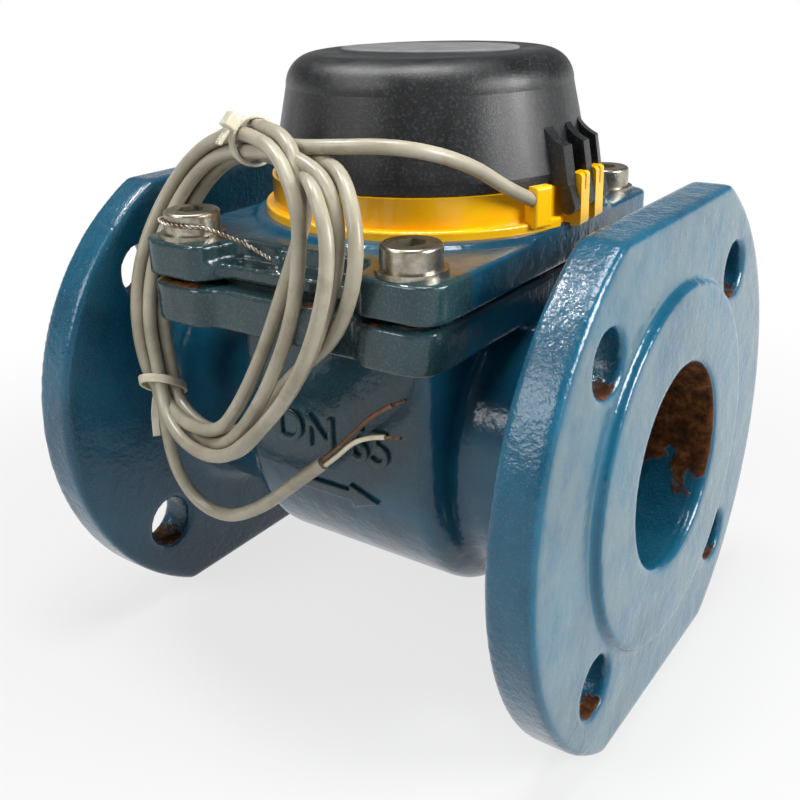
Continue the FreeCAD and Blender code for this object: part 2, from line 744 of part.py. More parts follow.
def cover_washers():
    return Part.Compound([ring_z(SCREW_HOLE / 2, WASHER_DIA / 2, COVER_TOP, head_base(), x, y)
                          for x, y in screw_places()])


def seal_wire():
    """Twisted wire: out of the drilled head, round its front, and straight to the lug on the cover."""
    x, y = [p for p in screw_places() if p[0] < 0 and p[1] < 0][0]
    z = head_base() + WIRE_HEIGHT
    start, stop = wire_angles()
    reach = HEAD_DIA / 2 + WIRE_DIA / 2 + WIRE_GAP
    centre = Vector(x, y, z)

    def on_head(angle):
        return centre + Vector(reach * math.cos(angle), reach * math.sin(angle), 0)

    lug = Vector(LUG_X - LUG_SIZE / 2 - WIRE_DIA, LUG_Y, ledge_top() + LUG_HEIGHT / 2)
    wrap = Part.Arc(on_head(start), on_head((start + stop) / 2), on_head(stop)).toShape()
    leave = Part.LineSegment(on_head(stop), lug).toShape()
    heading = Vector(-math.sin(start), math.cos(start), 0)
    first = Part.Wire([Part.Circle(on_head(start), heading, WIRE_DIA / 2).toShape()])
    loop = Part.Wire([wrap]).makePipe(Part.Face(first))
    second = Part.makeCylinder(WIRE_DIA / 2, leave.Length, on_head(stop), lug - on_head(stop))
    knuckle = Part.makeSphere(WIRE_DIA / 2, on_head(stop))
    stub_start = centre + Vector(math.cos(start), math.sin(start), 0) * (HEAD_DIA / 2 - WIRE_STUB)
    stub = Part.makeCylinder(WIRE_DIA / 2, on_head(start).distanceToPoint(stub_start), stub_start,
                             on_head(start) - stub_start)
    bend = Part.makeSphere(WIRE_DIA / 2, on_head(start))
    pin = cylinder_x(WIRE_DIA / 2, lug.x, LUG_X + LUG_SIZE / 2 + WIRE_DIA, lug.y, lug.z)
    corner = Part.makeSphere(WIRE_DIA / 2, lug)
    return joined([stub, bend, loop, knuckle, second, corner, pin])


def insert_housing():
    """Measuring tube that hangs under its head plate, one moulding."""
    x0 = INSERT_START
    x1 = INSERT_END
    y = HEAD_PLATE_WIDTH / 2
    saddle = SADDLE_WIDTH / 2
    plate_wire = rounded_wire([(x0, -y), (x1, -y), (x1, y), (x0, y)], [HEAD_PLATE_ROUND] * 4)
    solids = [
        cylinder_x(BORE_RADIUS + TUBE_WALL, x0, x1),
        block(x0 + SADDLE_INSET, x1 - SADDLE_INSET, -saddle, saddle, 0, HEAD_PLATE_BASE + 1),
        prism_z(plate_wire, HEAD_PLATE_BASE, COVER_BASE),
    ]
    housing = joined(solids)
    tools = [
        cylinder_x(BORE_RADIUS, x0 - 1, x1 + 1),
        cylinder_z(UPRIGHT_DIA / 2 + SLIDE_GAP, 0, HEAD_PLATE_BASE + 2, REGISTER_X, REGISTER_Y),
        cylinder_z(BUSH_DIA / 2 + PRESS_GAP, HEAD_PLATE_BASE + 1, COVER_BASE + 1, REGISTER_X, REGISTER_Y),
    ]
    for x, y in insert_screw_places():
        tools.append(cylinder_z(INSERT_SCREW_DIA / 2 + SLIDE_GAP, HEAD_PLATE_BASE - 1, COVER_BASE + 1, x, y))
    for tool in tools:
        housing = housing.cut(tool)
    return housing


def insert_screws():
    solids = []
    low = HEAD_PLATE_BASE - INSERT_SCREW_HEAD_HEIGHT
    half = INSERT_SLOT_WIDTH / 2
    for x, y in insert_screw_places():
        shank = cylinder_z(INSERT_SCREW_DIA / 2, HEAD_PLATE_BASE - 1, COVER_BASE + INSERT_SCREW_REACH, x, y)
        head = cylinder_z(INSERT_SCREW_HEAD / 2, low, HEAD_PLATE_BASE, x, y)
        slot = block(x - INSERT_SCREW_HEAD, x + INSERT_SCREW_HEAD, y - half, y + half,
                     low - 1, low + INSERT_SLOT_DEPTH)
        solids.append(joined([shank, head]).cut(slot))
    return Part.Compound(solids)


def bush(x0, x1):
    return cylinder_x(BUSH_DIA / 2, x0, x1).cut(cylinder_x(SHAFT_DIA / 2 + RUN_GAP, x0 - 1, x1 + 1))


def front_bush_span():
    start = INSERT_START + FRONT_BUSH_INSET
    return start, start + BUSH_LENGTH


def foot_bush_span():
    return UPRIGHT_FOOT - FOOT_BUSH_FLOOR, UPRIGHT_FOOT - FOOT_BUSH_FLOOR + FOOT_BUSH_LENGTH


def gear_housing():
    """Inlet vanes round a hollow hub, which holds the worm gear clear of the water's path."""
    x0 = INSERT_START
    nose_end = x0 + NOSE_LENGTH
    bush_start, bush_end = front_bush_span()
    outer = turned([(0, x0), (HUB_RADIUS * 0.7, x0 + NOSE_LENGTH * 0.28, HUB_RADIUS, nose_end),
                    (HUB_RADIUS, HUB_END), (0, HUB_END)], Vector(1, 0, 0))
    rim = cylinder_x(BORE_RADIUS - VANE_GAP, x0, HUB_END)
    strut = cylinder_z(STRUT_RADIUS, HUB_RADIUS / 2, BORE_RADIUS, REGISTER_X, REGISTER_Y)
    solids = [outer, strut.common(rim)]
    vane_start = x0 + VANE_INSET
    half = VANE_THICK / 2
    for i in range(VANE_COUNT):
        vane = block(vane_start, vane_start + VANE_LENGTH, -half, half, HUB_RADIUS / 2, BORE_RADIUS + 2)
        solids.append(spun(vane, 360 / VANE_COUNT * i + 30, axis=Vector(1, 0, 0)).common(rim))
    housing = joined(solids)
    tools = [
        cylinder_x(HUB_RADIUS - HUB_WALL, bush_end + 1, HUB_END + 1),
        cylinder_x(BUSH_DIA / 2 + PRESS_GAP, bush_start, bush_end + 2),
        cylinder_z(UPRIGHT_DIA / 2 + SLIDE_GAP, 0, BORE_RADIUS + 1, REGISTER_X, REGISTER_Y),
    ]
    for tool in tools:
        housing = housing.cut(tool)
    low, high = foot_bush_span()
    foot = cylinder_z(BUSH_DIA / 2 + FOOT_WALL, -HUB_RADIUS, high, REGISTER_X, REGISTER_Y)
    foot = foot.common(cylinder_x(HUB_RADIUS - HUB_WALL / 2, CAVITY_START, HUB_END))
    seat = cylinder_z(BUSH_DIA / 2 + PRESS_GAP, low, high + 1, REGISTER_X, REGISTER_Y)
    return joined([housing, foot]).cut(seat)


def hub_cover():
    x0 = HUB_END - HUB_COVER_THICK
    disc = cylinder_x(HUB_RADIUS - HUB_WALL - RUN_GAP, x0, HUB_END)
    return disc.cut(cylinder_x(SHAFT_DIA / 2 + SLIDE_GAP, x0 - 1, HUB_END + 1))


def rear_bush_span():
    return INSERT_END - SPIDER_LENGTH, INSERT_END


def outlet_spider():
    x0, x1 = rear_bush_span()
    solids = [cylinder_x(SPIDER_HUB_RADIUS, x0, x1)]
    rim = cylinder_x(BORE_RADIUS - VANE_GAP, x0, x1)
    for i in range(SPIDER_ARMS):
        arm = block(x0, x1, -SPIDER_ARM_THICK / 2, SPIDER_ARM_THICK / 2, 0, BORE_RADIUS + 2)
        solids.append(spun(arm, 360 / SPIDER_ARMS * i, axis=Vector(1, 0, 0)).common(rim))
    return joined(solids).cut(cylinder_x(BUSH_DIA / 2 + PRESS_GAP, x0 - 1, x1 + 1))


def blade():
    """One helical blade: a thin upright strip, carried along the shaft while it turns."""
    sections = []
    for i in range(BLADE_STATIONS):
        share = i / (BLADE_STATIONS - 1)
        x = ROTOR_START + share * (ROTOR_END - ROTOR_START)
        h = BLADE_THICK / 2
        inner = ROTOR_HUB_RADIUS - 2
        outer = BORE_RADIUS - ROTOR_TIP_GAP
        strip = Part.makePolygon([Vector(x, -h, inner), Vector(x, h, inner), Vector(x, h, outer),
                                  Vector(x, -h, outer), Vector(x, -h, inner)])
        sections.append(spun(strip, share * BLADE_TWIST, axis=Vector(1, 0, 0)))
    return Part.makeLoft(sections, True, False)


def rotor():
    hub = cylinder_x(ROTOR_HUB_RADIUS, ROTOR_START, ROTOR_END)
    blades = [spun(blade(), 360 / BLADE_COUNT * i, axis=Vector(1, 0, 0)) for i in range(BLADE_COUNT)]
    core = cylinder_x(SHAFT_DIA / 2 + PRESS_GAP, ROTOR_START - 1, ROTOR_END + 1)
    return joined([hub] + blades).cut(core)


def rotor_shaft():
    return cylinder_x(SHAFT_DIA / 2, front_bush_span()[0] + SHAFT_INSET, INSERT_END - SHAFT_END_GAP)


def drive_worm():
    """Single-start worm. Its thread faces the wheel's tooth gap at mid-length."""
    lead = math.pi * GEAR_MODULE
    root = WORM_PITCH_RADIUS - WORM_ROOT_DEPTH
    tip = WORM_PITCH_RADIUS + WORM_ADDENDUM
    helix = Part.makeHelix(lead, WORM_TURNS * lead, root)
    inside = root - 0.3
    strip = Part.makePolygon([Vector(inside, 0, -THREAD_ROOT_HALF), Vector(tip, 0, -THREAD_TIP_HALF),
                              Vector(tip, 0, THREAD_TIP_HALF), Vector(inside, 0, THREAD_ROOT_HALF),
                              Vector(inside, 0, -THREAD_ROOT_HALF)])
    thread = Part.Wire(helix).makePipeShell([strip], True, True)
    core = cylinder_z(root, -lead / 2, (WORM_TURNS + 0.5) * lead)
    worm = joined([core, thread]).cut(cylinder_z(SHAFT_DIA / 2 + PRESS_GAP, -lead, (WORM_TURNS + 1) * lead))
    worm.rotate(Vector(0, 0, 0), Vector(0, 1, 0), 90)
    return moved(worm, REGISTER_X - (WORM_TURNS / 2 + 0.25) * lead, 0)


def toothed_wheel(teeth, tip, root, tip_width, root_width, z0, z1, first_angle):
    """Spur wheel with straight-sided teeth; first_angle, in degrees, points at the middle of a tooth."""
    points = []
    for i in range(teeth):
        middle = math.radians(first_angle + 360 / teeth * i)
        sides = ((root, -root_width), (tip, -tip_width), (tip, tip_width), (root, root_width))
        for radius, width in sides:
            angle = middle + width / 2 / radius
            points.append(Vector(radius * math.cos(angle), radius * math.sin(angle), z0))
    return Part.Face(Part.makePolygon(points + points[:1])).extrude(Vector(0, 0, z1 - z0))


def worm_wheel():
    first = -90 + 180 / WHEEL_TEETH
    tip = WHEEL_PITCH_RADIUS + WHEEL_ADDENDUM
    root = WHEEL_PITCH_RADIUS - WHEEL_DEDENDUM
    half = WHEEL_WIDTH / 2
    wheel = toothed_wheel(WHEEL_TEETH, tip, root, TOOTH_TIP_WIDTH, TOOTH_ROOT_WIDTH, -half, half, first)
    bore = cylinder_z(UPRIGHT_DIA / 2 + PRESS_GAP, -WHEEL_WIDTH, WHEEL_WIDTH)
    return moved(wheel.cut(bore), REGISTER_X, REGISTER_Y)


def magnet_span():
    top = CUP_TOP - CUP_WALL - MAGNET_GAP
    return top - MAGNET_HEIGHT, top


def upright_shaft():
    return cylinder_z(UPRIGHT_DIA / 2, UPRIGHT_FOOT, magnet_span()[1], REGISTER_X, REGISTER_Y)


def upright_bush(z0, z1):
    sleeve = cylinder_z(BUSH_DIA / 2, z0, z1, REGISTER_X, REGISTER_Y)
    return sleeve.cut(cylinder_z(UPRIGHT_DIA / 2 + RUN_GAP, z0 - 1, z1 + 1, REGISTER_X, REGISTER_Y))


def drive_magnet():
    z0, z1 = magnet_span()
    disc = cylinder_z(MAGNET_DIA / 2, z0, z1, REGISTER_X, REGISTER_Y)
    return disc.cut(cylinder_z(UPRIGHT_DIA / 2 + PRESS_GAP, z0 - 1, z1 + 1, REGISTER_X, REGISTER_Y))


def pressure_cup():
    """Thin cup that closes the wet side; the two magnets face each other through its top."""
    inner = CUP_RADIUS - CUP_WALL
    flange = CUP_FLANGE_DIA / 2
    shoulder = COVER_BASE + CUP_FLANGE_THICK
    ceiling = CUP_TOP - CUP_WALL
    cup = turned([(inner, COVER_BASE), (flange, COVER_BASE), (flange, shoulder), (CUP_RADIUS, shoulder),
                  (CUP_RADIUS, CUP_TOP), (0, CUP_TOP), (0, ceiling), (inner, ceiling)], Vector(0, 0, 1))
    return moved(cup, REGISTER_X, REGISTER_Y)


def cup_seal():
    z = COVER_BASE + CUP_FLANGE_THICK + CUP_SEAL_SECTION / 2
    return moved(Part.makeTorus(CUP_SEAL_DIA / 2, CUP_SEAL_SECTION / 2 - RUN_GAP), REGISTER_X, REGISTER_Y, z)


def register_can():
    inner = CAN_RADIUS - CAN_WALL
    flange = CAN_FLANGE_DIA / 2
    shoulder = PAD_TOP + CAN_FLANGE_THICK
    can = turned([(0, PAD_TOP), (flange, PAD_TOP), (flange, shoulder), (CAN_RADIUS, shoulder),
                  (CAN_RADIUS, CAN_TOP), (inner, CAN_TOP), (inner, CAN_INSIDE), (0, CAN_INSIDE)],
                 Vector(0, 0, 1))
    return at_register(can)


def window_gasket():
    top = CAN_TOP + WINDOW_GASKET_THICK
    return at_register(ring_z(CAN_RADIUS - WINDOW_GASKET_WIDTH, CAN_RADIUS, CAN_TOP, top))


def window_top():
    return CAN_TOP + WINDOW_GASKET_THICK + WINDOW_THICK


def register_window():
    disc = cylinder_z(CAN_RADIUS, CAN_TOP + WINDOW_GASKET_THICK, window_top())
    rims = [e for e in disc.Edges if e.BoundBox.ZLength < 1e-6]
    return at_register(disc.makeChamfer(WINDOW_CHAMFER, rims))


def window_bezel():
    top = window_top() + RUN_GAP
    inner = CAN_RADIUS + RUN_GAP
    outer = inner + BEZEL_WALL
    lip = inner - BEZEL_LIP
    low = CAN_TOP - BEZEL_SKIRT
    crown = top + BEZEL_WALL
    bezel = turned([(inner, low), (outer, low), (outer, crown), (lip, crown), (lip, top), (inner, top)],
                   Vector(0, 0, 1))
    return at_register(bezel)


def arbor_places():
    """Places of the register's three upright arbors: input, first wheel, second wheel."""
    first = Vector(COUNTER_DISTANCE, 0, 0)
    first = Rotation(Vector(0, 0, 1), FIRST_WHEEL_ANGLE).multVec(first)
    step = Rotation(Vector(0, 0, 1), SECOND_WHEEL_ANGLE).multVec(Vector(COUNTER_DISTANCE, 0, 0))
    return [Vector(0, 0, 0), first, first + step]


def bracket_x():
    return DRUM_COUNT * DRUM_PITCH / 2 + SLIDE_GAP


def counter_frame():
    """Carrier of the register's arbors and of the number drums."""
    low = CAN_INSIDE + FRAME_LIFT
    bridge = CAN_INSIDE + BRIDGE_LIFT
    drums = CAN_INSIDE + DRUM_LIFT
    well_front = DRUM_OFFSET - DRUM_RADIUS - DRUM_WELL_GAP
    solids = [cylinder_z(WORKS_RADIUS, low, low + FRAME_PLATE)]
    plate = cylinder_z(WORKS_RADIUS - BRIDGE_INSET, bridge, bridge + FRAME_PLATE)
    edge = well_front - BRIDGE_DRUM_GAP
    rear = block(-WORKS_RADIUS, WORKS_RADIUS, edge, WORKS_RADIUS, bridge - 1, DIAL_BASE)
    solids.append(plate.cut(rear))
    for angle in (180, 270, 0):
        x = (WORKS_RADIUS - POST_INSET) * math.cos(math.radians(angle))
        y = (WORKS_RADIUS - POST_INSET) * math.sin(math.radians(angle))
        solids.append(cylinder_z(FRAME_POST_RADIUS, CAN_INSIDE, DIAL_BASE, x, y))
    inside = bracket_x()
    outside = inside + BRACKET_THICK
    front = DRUM_OFFSET - BRACKET_HALF_DEPTH
    back = DRUM_OFFSET + BRACKET_HALF_DEPTH
    for span in ((-outside, -inside), (inside, outside)):
        solids.append(block(span[0], span[1], front, back, low, DIAL_BASE))
    frame = joined(solids)
    tools = [
        cylinder_x(DRUM_AXLE_DIA / 2 + PRESS_GAP, -outside - 1, outside + 1, DRUM_OFFSET, drums),
        cylinder_x(DRUM_RADIUS + DRUM_WELL_GAP, -inside, inside, DRUM_OFFSET, drums),
    ]
    for place in arbor_places():
        tools.append(cylinder_z(ARBOR_DIA / 2 + RUN_GAP, low - 1, DIAL_BASE, place.x, place.y))
    for tool in tools:
        frame = frame.cut(tool)
    return at_register(frame)


def dial_plate():
    disc = cylinder_z(WORKS_RADIUS, DIAL_BASE, DIAL_TOP)
    half = DRUM_COUNT * DRUM_PITCH / 2
    front = DRUM_OFFSET - DIAL_SLOT_HALF
    back = DRUM_OFFSET + DIAL_SLOT_HALF
    disc = disc.cut(block(-half, half, front, back, DIAL_BASE - 1, DIAL_TOP + 1))
    for place in arbor_places():
        disc = disc.cut(cylinder_z(ARBOR_DIA / 2 + SLIDE_GAP, DIAL_BASE - 1, DIAL_TOP + 1, place.x, place.y))
    return at_register(disc)


def counter_gear(teeth, z0, first_angle):
    pitch_radius = COUNTER_MODULE * teeth / 2
    pitch = math.pi * COUNTER_MODULE
    width = pitch * COUNTER_TOOTH_SHARE
    return toothed_wheel(teeth, pitch_radius + 0.75 * COUNTER_MODULE, pitch_radius - 1.1 * COUNTER_MODULE,
                         width * 0.7, width * 1.3, z0, z0 + COUNTER_GEAR_WIDTH, first_angle)


def arbor(place, low, top):
    return cylinder_z(ARBOR_DIA / 2, low, top, place.x, place.y)


def pointer_base():
    return DIAL_TOP + POINTER_LIFT


def register_input():
    """Input arbor with its pinion, moulded on."""
    place = arbor_places()[0]
    pinion = counter_gear(PINION_TEETH, CAN_INSIDE + FIRST_GEAR_LIFT, FIRST_WHEEL_ANGLE)
    return at_register(joined([arbor(place, CAN_INSIDE + SLIDE_GAP, pointer_base()), pinion]))


def follower_magnet():
    z0 = CAN_INSIDE + FOLLOWER_LIFT
    return at_register(ring_z(ARBOR_DIA / 2 + PRESS_GAP, MAGNET_DIA / 2, z0, z0 + FOLLOWER_HEIGHT))


def first_wheel():
    place = arbor_places()[1]
    low = CAN_INSIDE + FRAME_LIFT
    gap = FIRST_WHEEL_ANGLE + 180 + 180 / COUNTER_WHEEL_TEETH
    wheel = counter_gear(COUNTER_WHEEL_TEETH, CAN_INSIDE + FIRST_GEAR_LIFT, gap)
    pinion = counter_gear(PINION_TEETH, CAN_INSIDE + SECOND_GEAR_LIFT, SECOND_WHEEL_ANGLE)
    collar = cylinder_z(ARBOR_DIA, CAN_INSIDE + FIRST_GEAR_LIFT, CAN_INSIDE + SECOND_GEAR_LIFT)
    train = moved(joined([wheel, collar, pinion]), place.x, place.y)
    return at_register(joined([train, arbor(place, low, pointer_base())]))


def second_wheel():
    place = arbor_places()[2]
    low = CAN_INSIDE + FRAME_LIFT
    gap = SECOND_WHEEL_ANGLE + 180 + 180 / COUNTER_WHEEL_TEETH
    wheel = moved(counter_gear(COUNTER_WHEEL_TEETH, CAN_INSIDE + SECOND_GEAR_LIFT, gap), place.x, place.y)
    return at_register(joined([wheel, arbor(place, low, pointer_base())]))


def pointer(place):
    z0 = pointer_base() - POINTER_THICK
    hub = cylinder_z(ARBOR_DIA, z0, z0 + POINTER_THICK)
    wide = ARBOR_DIA / 2
    tip = wide / 6
    points = [Vector(-POINTER_TAIL, -wide, z0), Vector(POINTER_LENGTH, -tip, z0),
              Vector(POINTER_LENGTH, tip, z0), Vector(-POINTER_TAIL, wide, z0)]
    needle = Part.Face(Part.makePolygon(points + points[:1])).extrude(Vector(0, 0, POINTER_THICK))
    shape = joined([hub, needle]).cut(cylinder_z(ARBOR_DIA / 2 + PRESS_GAP, z0 - 1, z0 + 2))
    return at_register(moved(spun(shape, POINTER_TURN), place.x, place.y))


def flow_star():
    """Small star on the input arbor, which shows the least flow."""
    z0 = pointer_base() - POINTER_THICK
    points = []
    for i in range(2 * STAR_POINTS):
        radius = STAR_RADIUS if i % 2 == 0 else STAR_WAIST
        angle = math.pi * i / STAR_POINTS
        points.append(Vector(radius * math.cos(angle), radius * math.sin(angle), z0))
    star = Part.Face(Part.makePolygon(points + points[:1])).extrude(Vector(0, 0, POINTER_THICK))
    return at_register(star.cut(cylinder_z(ARBOR_DIA / 2 + PRESS_GAP, z0 - 1, z0 + 2)))


def drum_axle():
    reach = bracket_x() + BRACKET_THICK
    return at_register(cylinder_x(DRUM_AXLE_DIA / 2, -reach, reach, DRUM_OFFSET, CAN_INSIDE + DRUM_LIFT))


def number_drum(index):
    x = (index - (DRUM_COUNT - 1) / 2) * DRUM_PITCH
    z = CAN_INSIDE + DRUM_LIFT
    drum = cylinder_x(DRUM_RADIUS, x - DRUM_WIDTH / 2, x + DRUM_WIDTH / 2, DRUM_OFFSET, z)
    bore = cylinder_x(DRUM_AXLE_DIA / 2 + RUN_GAP, x - DRUM_WIDTH, x + DRUM_WIDTH, DRUM_OFFSET, z)
    return at_register(drum.cut(bore))


def upright_prism(points, s0, s1):
    """Prism across the hinge from an outline in the (radius, height) plane; four numbers end an arc."""
    edges = []
    last = Vector(points[0][-2], s0, points[0][-1])
    for point in points[1:] + points[:1]:
        end = Vector(point[-2], s0, point[-1])
        if len(point) == 4:
            edges.append(Part.Arc(last, Vector(point[0], s0, point[1]), end).toShape())
        elif last.distanceToPoint(end) > 1e-9:
            edges.append(Part.LineSegment(last, end).toShape())
        last = end
    return Part.Face(Part.Wire(edges)).extrude(Vector(0, s1 - s0, 0))


def fin_places():
    return [(i - (FIN_COUNT - 1) / 2) * FIN_PITCH for i in range(FIN_COUNT)]


def tab_places():
    return [(i - (FIN_COUNT - 2) / 2) * FIN_PITCH for i in range(FIN_COUNT - 1)]


def tab_half():
    return (FIN_PITCH - FIN_THICK) / 2 - KNUCKLE_PLAY


def pin_hole(radius):
    reach = FIN_PITCH + FIN_THICK
    return Part.makeCylinder(radius, 2 * reach, Vector(PIN_R, -reach, PIN_Z), Vector(0, 1, 0))


def hinge_tab(s):
    """Upright tab that holds the pin: it hangs over the cover's edge and rises past the ring's top."""
    outer = math.sqrt(TAB_RADIUS ** 2 - s ** 2)
    inner = RING_RADIUS - RING_WALL / 2
    over_edge = COVER_LENGTH / 2 - REGISTER_X + TAB_EDGE_GAP
    beside_lid = LID_RADIUS + LID_SIDE_ROOM
    low = PAD_TOP - TAB_DROP
    bow = TAB_BOW
    rim = TAB_BOW * 0.3
    outline = [(inner, PAD_TOP), (over_edge, PAD_TOP), (over_edge, low), (outer - bow, low),
               (outer - rim, low + rim, outer, low + bow), (outer, TAB_TOP - bow),
               (outer - rim, TAB_TOP - rim, outer - bow, TAB_TOP), (beside_lid, TAB_TOP),
               (beside_lid, RING_TOP), (inner, RING_TOP)]
    tab = upright_prism(outline, s - tab_half(), s + tab_half())
    slot = block(outer - TAB_SLOT_DEPTH, outer + 1, s - TAB_SLOT / 2, s + TAB_SLOT / 2,
                 TAB_TOP - TAB_SLOT_LENGTH, TAB_TOP + 1)
    return tab.cut(slot)


def exit_block():
    """Block on the ring that the cable comes out of."""
    half = EXIT_WIDTH / 2
    outer = EXIT_RADIUS + EXIT_DEPTH / 2
    top = RING_TOP + EXIT_RISE
    shape = block(RING_RADIUS - RING_WALL / 2, outer, -half, half, PAD_TOP + LIP_HEIGHT / 2, top)
    shape = shape.makeFillet(EXIT_EDGE, [e for e in shape.Edges if e.BoundBox.XMin > outer - 1e-6])
    shape = shape.cut(block(0, LID_RADIUS + LID_SIDE_ROOM, -EXIT_WIDTH, EXIT_WIDTH, RING_TOP, top + 1))
    return spun(shape, EXIT_ANGLE)


def exit_line():
    """Point inside the exit block and the direction that the cable leaves in, in the register's frame."""
    tilt = math.radians(EXIT_TILT)
    turn = Rotation(Vector(0, 0, 1), EXIT_ANGLE)
    point = turn.multVec(Vector(EXIT_RADIUS, EXIT_INSET, PAD_TOP + EXIT_LIFT))
    return point, turn.multVec(Vector(0, -math.cos(tilt), math.sin(tilt)))


def retaining_ring():
    inner = RING_RADIUS - RING_WALL
    clamp = PAD_TOP + CAN_FLANGE_THICK + CLAMP_PLAY
    flange = CAN_FLANGE_DIA / 2 + CLAMP_PLAY
    band = turned([(flange, PAD_TOP), (RING_RADIUS, PAD_TOP), (RING_RADIUS, RING_TOP), (inner, RING_TOP),
                   (inner, clamp + CLAMP_THICK), (CLAMP_RADIUS, clamp + CLAMP_THICK), (CLAMP_RADIUS, clamp),
                   (flange, clamp)], Vector(0, 0, 1))
    edge = LIP_EDGE
    rim = LIP_EDGE * 0.3
    root = RING_RADIUS - 1
    lip_top = PAD_TOP + LIP_HEIGHT
    lip = turned([(root, PAD_TOP), (LIP_RADIUS, PAD_TOP), (LIP_RADIUS, lip_top - edge),
                  (LIP_RADIUS - rim, lip_top - rim, LIP_RADIUS - edge, lip_top), (root, lip_top)],
                 Vector(0, 0, 1))
    lip = lip.cut(block(0, 2 * LIP_RADIUS, -LIP_GAP_HALF, LIP_GAP_HALF, PAD_TOP - 1, lip_top + 1))
    solids = [band, lip, exit_block()] + [hinge_tab(s) for s in tab_places()]
    ring = joined(solids)
    point, direction = exit_line()
    passage = Part.makeCylinder(CABLE_DIA / 2 + CABLE_HOLE_GAP, EXIT_RUN, point, direction)
    ring = ring.cut(passage).cut(pin_hole(PIN_DIA / 2 + PRESS_GAP))
    return at_register(ring)


def lid_radius(z):
    """Outer radius of the lid's tapered side at a height."""
    share = (z - LID_BASE) / (LID_HEIGHT - LID_TOP_ROUND)
    return LID_RADIUS + (LID_TOP_RADIUS - LID_RADIUS) * share


def lid_shell():
    bend = math.sqrt(0.5)
    side_top = LID_TOP - LID_TOP_ROUND
    inner_round = LID_TOP_ROUND - LID_WALL
    outer_sag = LID_TOP_ROUND * (1 - bend)
    inner_sag = inner_round * (1 - bend) + LID_WALL
    outer_mid = (LID_TOP_RADIUS - outer_sag, LID_TOP - outer_sag)
    inner_mid = (LID_TOP_RADIUS - inner_sag, LID_TOP - inner_sag)
    return turned([
        (LID_RADIUS - LID_WALL, LID_BASE),
        (LID_RADIUS - LID_REBATE, LID_BASE),
        (LID_RADIUS - LID_REBATE, LID_BASE + LID_REBATE_HEIGHT),
        (lid_radius(LID_BASE + LID_REBATE_HEIGHT), LID_BASE + LID_REBATE_HEIGHT),
        (LID_TOP_RADIUS, side_top),
        outer_mid + (LID_TOP_RADIUS - LID_TOP_ROUND, LID_TOP),
        (0, LID_TOP),
        (0, LID_TOP - LID_WALL),
        (LID_TOP_RADIUS - LID_TOP_ROUND, LID_TOP - LID_WALL),
        inner_mid + (LID_TOP_RADIUS - LID_WALL, side_top),
    ], Vector(0, 0, 1))


def hinge_fin(s):
    """Fin of the lid: it leaves the side in a hollow curve and ends in a knuckle round the pin."""
    shoulder = LID_BASE + FIN_SHOULDER_LIFT
    top = LID_BASE + FIN_TOP_LIFT
    deep = LID_WALL * 0.75
    root = LID_BASE + LID_REBATE_HEIGHT
    middle = top * 0.3 + shoulder * 0.7
    hollow = (lid_radius(middle) * 0.62 + FIN_SHOULDER_RADIUS * 0.38, middle)
    half = FIN_THICK / 2
    rib = turned([(lid_radius(LID_BASE) - deep, LID_BASE), (FIN_BASE_RADIUS, LID_BASE),
                  (FIN_SHOULDER_RADIUS, shoulder), hollow + (lid_radius(top) - deep / 3, top),
                  (lid_radius(top) - deep, top), (lid_radius(root) - deep, root)], Vector(0, 0, 1))
    rib = rib.common(block(0, 2 * LID_RADIUS, s - half, s + half, LID_BASE - 1, LID_TOP))
    outer = PIN_R + KNUCKLE_RADIUS
    inner = PIN_R - KNUCKLE_RADIUS
    rib_face = math.sqrt(FIN_BASE_RADIUS ** 2 - s ** 2)
    shank = upright_prism([(outer, PIN_Z), (rib_face, LID_BASE), (inner, LID_BASE), (inner, PIN_Z),
                           (PIN_R, PIN_Z - KNUCKLE_RADIUS, outer, PIN_Z)], s - half, s + half)
    return joined([rib, shank])


def tab_swing():
    """Room round the pin that the tabs need while the lid turns past them."""
    corner = math.hypot(TAB_RADIUS - PIN_R, TAB_TOP - PIN_Z)
    return corner + KNUCKLE_PLAY


def register_lid():
    lid = joined([lid_shell()] + [hinge_fin(s) for s in fin_places()])
    for s in tab_places():
        half = FIN_PITCH / 2 - FIN_THICK / 2
        room = Part.makeCylinder(tab_swing(), 2 * half, Vector(PIN_R, s - half, PIN_Z), Vector(0, 1, 0))
        lid = lid.cut(room)
    return at_register(lid.cut(pin_hole(PIN_DIA / 2 + RUN_GAP)))


def hinge_pin():
    reach = (FIN_COUNT - 1) * FIN_PITCH / 2 + FIN_THICK / 2
    pin = Part.makeCylinder(PIN_DIA / 2, 2 * reach, Vector(PIN_R, -reach, PIN_Z), Vector(0, 1, 0))
    return at_register(pin)


def pulse_sensor():
    depth, width, height = SENSOR_SIZE
    outer = RING_RADIUS - RING_WALL - SENSOR_PLAY
    base = PAD_TOP + CAN_FLANGE_THICK + CLAMP_PLAY + CLAMP_THICK
    reach = math.sqrt(outer ** 2 - (width / 2) ** 2)
    case = block(reach - depth, reach, -width / 2, width / 2, base, base + height)
    return at_register(spun(case, EXIT_ANGLE))


def route_wire(points):
    """Straight runs joined by tangent arcs, each as large as its shorter run allows; with the radii."""
    spots = [Vector(*p) for p in points]
    edges = []
    radii = []
    last = spots[0]
    for before, spot, after in zip(spots, spots[1:], spots[2:]):
        back = before - spot
        ahead = after - spot
        reach = 0.45 * min(back.Length, ahead.Length)
        back.normalize()
        ahead.normalize()
        half_turn = (math.pi - back.getAngle(ahead)) / 2
        radius = reach / math.tan(half_turn)
        start = spot + back * reach
        stop = spot + ahead * reach
        middle = spot + (back + ahead).normalize() * (radius / math.cos(half_turn) - radius)
        edges.append(Part.LineSegment(last, start).toShape())
        edges.append(Part.Arc(start, middle, stop).toShape())
        radii.append(radius)
        last = stop
    edges.append(Part.LineSegment(last, spots[-1]).toShape())
    return Part.Wire(edges), radii


